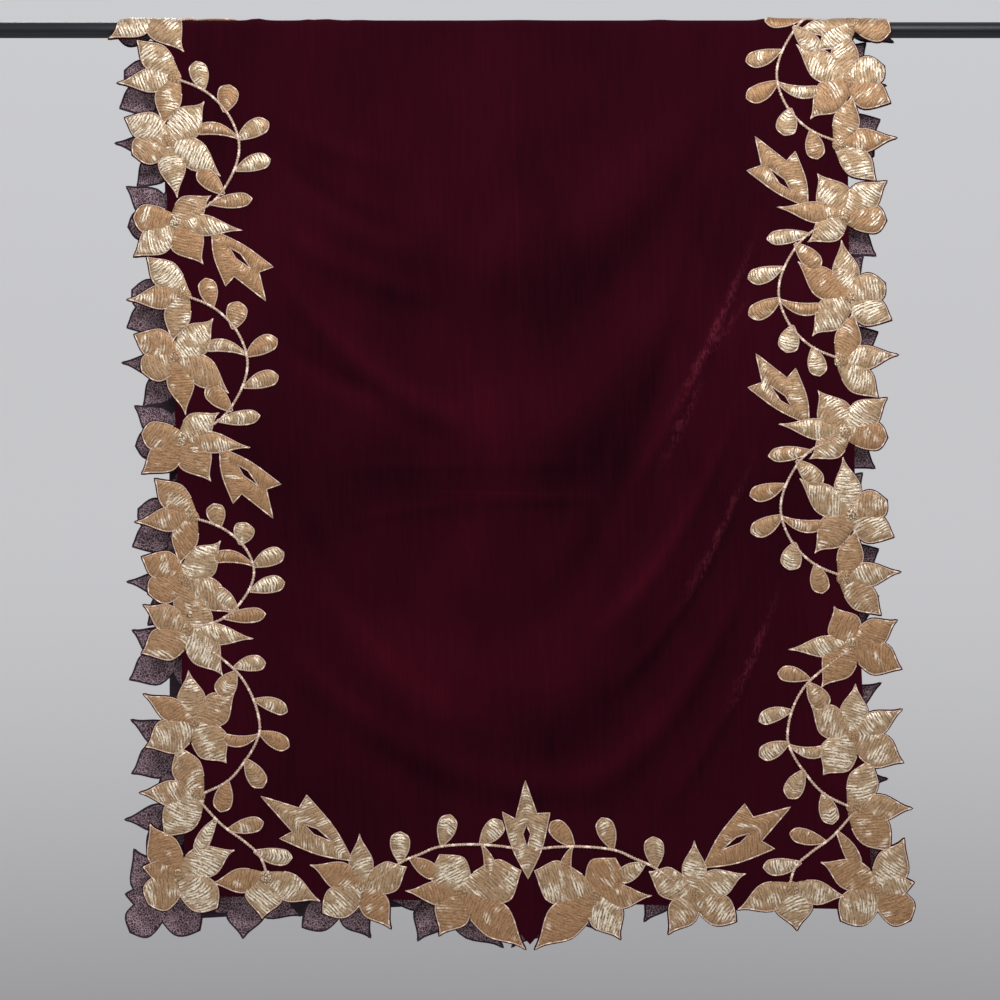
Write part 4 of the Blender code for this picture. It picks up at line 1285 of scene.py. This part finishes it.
def pile_finish(cloth):
    """Silk velvet pile: painted shade where the cloth faces down, redder painted light where
    it faces up.
    """
    finish = Finish("velvet_pile")
    place, across, along = finish.map()
    # Painted light and shade from the cloth's slope, kept in the shade mark.
    painted_slope_light = finish.mark("shade")
    broad = finish.noise(place, 6.0, 4.5, 2.0, 0.5)
    brushed = finish.noise(place, 190.0, 14.0, 3.0, 0.6)
    speck = finish.noise(place, 900.0, 900.0, 2.0, 0.6)
    feather = finish.noise(place, 430.0, 150.0, 3.0, 0.7)
    patchy = finish.noise(place, 55.0, 42.0, 2.0, 0.6)
    edge = (across - CRUSHED_CENTRE) / FOLD_REACH
    # Crushed pile: its relief is real, and its brighter colour is painted sheen.
    crush_sheen = 0.0
    for row in CRUSHED:
        away = along - row["bottom"] + edge * edge * row["right"]
        away = away + (patchy - 0.5) * 0.026
        zone = away.hump(0.0, row["breadth"]) * across.hump(row["middle"], row["reach"])
        crush_sheen = zone * row["strength"] + crush_sheen
    crush_sheen = (feather * 0.9 + patchy * 0.35).between(0.50, 0.78) * crush_sheen
    # Crease lines down the centre and across a stored fold, painted as thin highlights on the
    # pile.
    centre = across.hump(0.010, 0.0028) * along.hump(0.22, 0.30)
    second = across.hump(0.003, 0.0050) * along.hump(0.24, 0.22)
    stored = (along - across * 0.03).hump(0.575, 0.0026) * across.hump(-0.02, 0.19)
    lines = (centre * 0.20 + second * 0.10 + stored * 0.16) * (0.4 + brushed)
    # Painted light and shade from the slope and painted crease highlights, with the pile's
    # random tone.
    light_and_tone = painted_slope_light * 0.95 + (broad - 0.5) * 0.55 + (brushed - 0.5) * 0.30 + (speck - 0.5) * 0.22
    light_and_tone = light_and_tone + lines
    # From the pile with painted shade, through the plain pile, to the pile with painted light.
    lower = finish.blend(light_and_tone.between(0.05, 0.60), cloth.pile_painted_shade,
                         cloth.pile_body)
    upper = finish.blend(light_and_tone.between(0.50, 1.15), lower, cloth.pile_bright)
    # Painted sheen of the crushed pile.
    tinted = finish.blend(crush_sheen * 0.30, upper, cloth.pile_crushed_sheen)
    relief = speck * 0.5 + brushed * 0.5 + crush_sheen * 1.2
    return finish.surface({
        "Base Color": tinted, "Roughness": 0.85, "Specular IOR Level": 0.02,
        "Sheen Weight": 0.16, "Sheen Roughness": 0.35, "Sheen Tint": cloth.sheen,
        "Normal": finish.bump(relief, 0.0004, 0.5),
    })


def wrong_side_finish(cloth):
    """The back of the velvet: a plain, dull weave."""
    finish = Finish("velvet_wrong_side")
    place, across, along = finish.map()
    warp = (across * (2.0 * math.pi / 0.0011)).wave()
    weft = (along * (2.0 * math.pi / 0.0011)).wave()
    slub = finish.noise(place, 60.0, 500.0, 2.0, 0.6)
    share = (warp * weft * 0.5 + slub * 0.6).between(0.1, 0.9)
    tinted = finish.blend(share, cloth.wrong_dark, cloth.wrong_light)
    return finish.surface({
        "Base Color": tinted, "Roughness": 0.9, "Specular IOR Level": 0.1,
        "Normal": finish.bump(warp * weft, 0.0002, 0.5),
    })


def rod_finish(stage):
    """Black half-gloss paint with faint rubbing along the rod."""
    finish = Finish("rod_paint")
    place = finish.node("ShaderNodeTexCoord", {}, {}, "Object")
    stretched = finish.node("ShaderNodeVectorMath", {"operation": "MULTIPLY"},
                            {0: place, 1: (9.0, 260.0, 260.0)})
    rubbed = finish.node("ShaderNodeTexNoise", {}, {"Vector": stretched, "Scale": 1.0,
                                                    "Detail": 3.0}, "Fac")
    dust = finish.node("ShaderNodeTexNoise", {}, {"Vector": place, "Scale": 1400.0,
                                                  "Detail": 1.0}, "Fac")
    tinted = finish.blend(rubbed.between(0.45, 0.75), stage.rod_colour,
                          stage.rod_worn)
    return finish.surface({
        "Base Color": tinted, "Roughness": 0.27 + rubbed * 0.18 + dust * 0.06,
        "Specular IOR Level": 0.36, "Normal": finish.bump(dust, 0.00004, 0.5),
    })


def floor_finish(stage):
    """Pale matt floor."""
    finish = Finish("pale_floor")
    place = finish.node("ShaderNodeTexCoord", {}, {}, "Object")
    cloud = finish.node("ShaderNodeTexNoise", {}, {"Vector": place, "Scale": 3.0,
                                                   "Detail": 4.0}, "Fac")
    pale = stage.floor_colour
    deeper = (pale[0] * 0.93, pale[1] * 0.93, pale[2] * 0.94, 1.0)
    return finish.surface({"Base Color": finish.blend(cloud, deeper, pale),
                           "Roughness": 0.7})


def soft_room():
    """A plain pale room: darker below, even from the middle up."""
    finish = Finish("soft_room", "worlds")
    place = finish.node("ShaderNodeTexCoord", {}, {}, "Generated")
    height = finish.node("ShaderNodeSeparateXYZ", {}, {0: place}, 2) * 0.5 + 0.5
    lower = finish.blend(height.between(0.30, 0.50), (0.16, 0.16, 0.165, 1.0),
                         (0.565, 0.565, 0.585, 1.0))
    upper = finish.blend(height.between(0.50, 0.70), lower, (0.63, 0.635, 0.66, 1.0))
    light = finish.node("ShaderNodeBackground", {}, {"Color": upper, "Strength": 1.0})
    finish.node("ShaderNodeOutputWorld", {}, {"Surface": light})
    return finish.owner


def colour_property(name, description, value):
    """A colour that the panel shows."""
    return FloatVectorProperty(name=name, description=description, default=value,
                               subtype="COLOR", size=3, min=0.0, max=1.0)


def length_property(name, description, value, low, high):
    """A length that the panel shows."""
    return FloatProperty(name=name, description=description, default=value, min=low,
                         max=high, unit="LENGTH")


def power_property(name, description, value):
    """The power of a light, which the panel shows."""
    return FloatProperty(name=name, description=description, default=value, min=0.0,
                         unit="POWER")


class StoleVelvet(bpy.types.PropertyGroup):
    """Sizes and colours of the velvet."""

    grid_step: length_property("Mesh step", "Distance between the velvet's mesh points",
                               0.0083, 0.004, 0.03)
    # Pile colour with painted shade, where the cloth faces down.
    pile_painted_shade: colour_property("Pile, dark", "Pile that leans away from the light",
                               (0.0095, 0.0009, 0.0030))
    pile_body: colour_property("Pile", "Pile seen straight on", (0.026, 0.0017, 0.0058))
    # Pile colour with painted light, where the cloth faces up.
    pile_bright: colour_property("Pile, bright", "Pile that catches the light",
                                 (0.061, 0.0032, 0.0082))
    # Crushed pile, painted bright with its sheen.
    pile_crushed_sheen: colour_property("Pile, crushed", "Tips of crushed pile",
                                  (0.23, 0.034, 0.060))
    sheen: colour_property("Sheen", "Tint of the pile's sheen", (0.55, 0.08, 0.16))
    wrong_dark: colour_property("Wrong side, dark", "Gaps of the back's weave",
                                (0.016, 0.010, 0.015))
    wrong_light: colour_property("Wrong side", "Threads of the back's weave",
                                 (0.062, 0.042, 0.056))
    reverse_dark: colour_property("Reverse, gaps", "Gaps between the backing threads",
                                  (0.046, 0.025, 0.032))
    reverse_light: colour_property("Reverse", "Backing threads of the embroidery",
                                   (0.46, 0.32, 0.36))


class StoleGold(bpy.types.PropertyGroup):
    """Sizes and colours of the embroidery."""

    stitch_pitch: length_property(
        "Stitch pitch", "Distance between the lines of satin stitch", 0.0036, 0.0004, 0.006)
    cord_radius: length_property(
        "Cord radius", "Half the thickness of the outline cord", 0.00085, 0.0002, 0.0015)
    vine_width: length_property(
        "Vine width", "Thickness of the twisted cord of the vines", 0.0032, 0.001, 0.005)
    vine_twist: length_property(
        "Vine twist", "Length of one turn of the vine's two strands", 0.0085, 0.002, 0.03)
    # Colour of the painted shade between the threads and at the rims.
    shadow: colour_property("Gold, deep", "Between the threads", (0.125, 0.072, 0.036))
    warm: colour_property("Gold, warm", "Thread of the duller petals", (0.390, 0.216, 0.108))
    # Paler thread of the brighter petals: partly its own tone, partly painted reflection.
    body: colour_property("Gold", "Thread of the brighter petals", (0.430, 0.296, 0.176))
    # Colour of the painted glints and highlights.
    glint: colour_property("Gold, glint", "Thread that catches the light",
                           (1.0, 0.915, 0.75))
    # Cord colour with painted shade, in the grooves between its strands.
    cord_painted_shade: colour_property("Cord, deep", "Between the strands of the cord",
                               (0.42, 0.27, 0.195))
    # Cord colour with painted light, on its strands.
    cord_painted_light: colour_property("Cord", "Strands of the cord", (0.95, 0.76, 0.63))


class StoleStage(bpy.types.PropertyGroup):
    """Rod colours, floor, light and camera."""

    rod_colour: colour_property("Rod", "Black paint", (0.0045, 0.0054, 0.0090))
    rod_worn: colour_property("Rod, rubbed", "Paint where cloth has rubbed it",
                              (0.013, 0.0145, 0.023))
    floor_colour: colour_property("Floor", "Pale floor", (0.62, 0.61, 0.60))
    key_power: power_property("Key light", "Power of the main light", 34.0)
    fill_power: power_property("Fill light", "Power of the side light", 5.0)
    back_power: power_property("Back light", "Power of the light behind", 34.0)
    camera_distance: length_property(
        "Camera distance", "From the camera to the front of the stole", 2.6, 0.5, 10.0)
    floor_drop: length_property("Floor", "How far the floor is below the rod", 1.66, 1.2, 3.0)
    lens_sensor: IntProperty(name="Sensor", description="Width of the camera's sensor in mm",
                             default=36, min=10, max=100)


class STOLE_OT_velvet(bpy.types.Operator):
    """Makes the velvet as one closed sheet that carries the borders"""

    bl_idname = "stole.velvet"
    bl_label = "Velvet"

    def execute(self, context):
        cloth = context.scene.stole_velvet
        flat, faces = velvet_pattern(cloth.grid_step / UNIT)
        outer, _ = on_cloth(flat, CLOTH_THICK / 2)
        inner, _ = on_cloth(flat, -CLOTH_THICK / 2)
        count = len(flat)
        rim = [(a, b, b + count, a + count) for a, b in open_edges(faces)]
        zero = np.zeros(count)
        across, along = flat.T * UNIT
        work = Piecework()
        # The shade mark carries the painted light and shade from the cloth's slope.
        work.add(np.vstack((outer, inner)), faces[:, ::-1].tolist(),
                 (np.tile(across, 2), np.tile(along, 2),
                  np.tile(painted_slope_light_of(flat), 2), np.tile(zero, 2), np.tile(zero, 2)), 0)
        work.faces += [tuple(int(i) + count for i in face) for face in faces]
        work.finishes += [1] * len(faces)
        work.faces += rim
        work.finishes += [0] * len(rim)
        item = work.object("velvet_cloth", [pile_finish(cloth), wrong_side_finish(cloth)])
        item.data.set_sharp_from_angle(angle=SHARP_VELVET)
        corners = flat[faces]
        first = corners[:, 1] - corners[:, 0]
        second = corners[:, 2] - corners[:, 0]
        area = 0.5 * np.abs(first[:, 0] * second[:, 1] - first[:, 1] * second[:, 0]).sum()
        size = (flat.max(axis=0) - flat.min(axis=0)) * UNIT
        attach(item, "root")
        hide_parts("velvet_front_fall", "velvet_over_rod", "velvet_back_fall")
        return {"FINISHED"}


def make_border(context, back):
    """Every unit of the border on one fall, each standing for its own solid."""
    gold = context.scene.stole_gold
    materials = [bpy.data.materials.get(name) or make() for name, make in (
        ("gold_satin_stitch", lambda: gold_stitch_finish(gold)),
        ("gold_couched_cord", lambda: gold_cord_finish(gold)),
        ("reverse_of_stitching", lambda: reverse_finish(context.scene.stole_velvet)),
    )]
    for unit in UNITS:
        node = ("back_" if back else "front_") + (other_side(unit[0]) if back else unit[0])
        item = border_unit(node + STITCHED, unit, back, gold, materials)
        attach(item, "root")
        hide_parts(node)


def other_side(name):
    """The name of a unit once the pattern is turned half round."""
    if "left" in name:
        return name.replace("left", "right")
    return name.replace("right", "left")


class STOLE_OT_front_border(bpy.types.Operator):
    """Stitches the gold border of the front fall"""

    bl_idname = "stole.front_border"
    bl_label = "Front border"

    def execute(self, context):
        make_border(context, False)
        return {"FINISHED"}


class STOLE_OT_back_border(bpy.types.Operator):
    """Stitches the gold border of the back fall"""

    bl_idname = "stole.back_border"
    bl_label = "Back border"

    def execute(self, context):
        make_border(context, True)
        return {"FINISHED"}


class STOLE_OT_rod(bpy.types.Operator):
    """Paints the rod black"""

    bl_idname = "stole.rod"
    bl_label = "Rod"

    def execute(self, context):
        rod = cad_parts["rod"]
        paint = rod_finish(context.scene.stole_stage)
        for place in rod.material_slots:
            place.material = paint
        return {"FINISHED"}


def area_light(row, power):
    """A soft light that the camera doesn't see."""
    lamp = bpy.data.lights.new(row["name"], "AREA")
    lamp.shape = "RECTANGLE"
    lamp.size, lamp.size_y = row["size"]
    lamp.energy = power
    lamp.color = row["tint"]
    item = bpy.data.objects.new(row["name"], lamp)
    item.location = row["place"]
    ahead = Vector((0.0, 0.0, row["aim"])) - Vector(row["place"])
    item.rotation_euler = ahead.to_track_quat("-Z", "Y").to_euler()
    item.visible_camera = False
    bpy.context.scene.collection.objects.link(item)


class STOLE_OT_stage(bpy.types.Operator):
    """Sets up the floor, the soft light and the camera"""

    bl_idname = "stole.stage"
    bl_label = "Floor, light and camera"

    def execute(self, context):
        stage = context.scene.stole_stage
        mesh = bpy.data.meshes.new("floor")
        drop = -stage.floor_drop
        corners = [(x, y, drop) for x, y in FLOOR_CORNERS]
        mesh.from_pydata(corners, [], [(0, 1, 2, 3)])
        mesh.materials.append(floor_finish(stage))
        floor = bpy.data.objects.new("floor", mesh)
        context.scene.collection.objects.link(floor)
        for row in LIGHTS:
            area_light(row, getattr(stage, row["power"]))
        context.scene.world = soft_room()
        lens = bpy.data.cameras.new("photo_camera")
        lens.sensor_width = stage.lens_sensor
        lens.lens = stage.lens_sensor * stage.camera_distance / (PICTURE_WIDTH * UNIT)
        camera = bpy.data.objects.new("photo_camera", lens)
        camera.location = (CAMERA_ACROSS, -stage.camera_distance - FRONT_OUT, CAMERA_UP)
        camera.rotation_euler = (math.pi / 2, 0.0, 0.0)
        context.scene.collection.objects.link(camera)
        context.scene.camera = camera
        context.scene.view_settings.view_transform = "Standard"
        return {"FINISHED"}


class STOLE_PT_panel(bpy.types.Panel):
    """Lists the pieces of the stole and what can be changed on them"""

    bl_label = "Stole"
    bl_idname = "STOLE_PT_panel"
    bl_space_type = "VIEW_3D"
    bl_region_type = "UI"
    bl_category = "Stole"

    def draw(self, context):
        layout = self.layout
        for operator in OPERATORS:
            layout.operator(operator.bl_idname)
        for group in ("stole_velvet", "stole_gold", "stole_stage"):
            values = getattr(context.scene, group)
            box = layout.box()
            for key in values.bl_rna.properties.keys():
                if key not in ("rna_type", "name"):
                    box.prop(values, key)


OPERATORS = (STOLE_OT_front_border, STOLE_OT_back_border, STOLE_OT_velvet, STOLE_OT_rod,
             STOLE_OT_stage)
CLASSES = (StoleVelvet, StoleGold, StoleStage, *OPERATORS, STOLE_PT_panel)


def register():
    """Adds the classes and the settings to Blender."""
    for kind in CLASSES:
        bpy.utils.register_class(kind)
    bpy.types.Scene.stole_velvet = PointerProperty(type=StoleVelvet)
    bpy.types.Scene.stole_gold = PointerProperty(type=StoleGold)
    bpy.types.Scene.stole_stage = PointerProperty(type=StoleStage)


def unregister():
    """Takes the classes and the settings out again."""
    del bpy.types.Scene.stole_velvet
    del bpy.types.Scene.stole_gold
    del bpy.types.Scene.stole_stage
    for kind in reversed(CLASSES):
        bpy.utils.unregister_class(kind)


def main():
    """Makes every piece in order."""
    register()
    bpy.ops.stole.front_border()
    bpy.ops.stole.back_border()
    bpy.ops.stole.velvet()
    bpy.ops.stole.rod()
    bpy.ops.stole.stage()


if __name__ == "__main__":
    main()
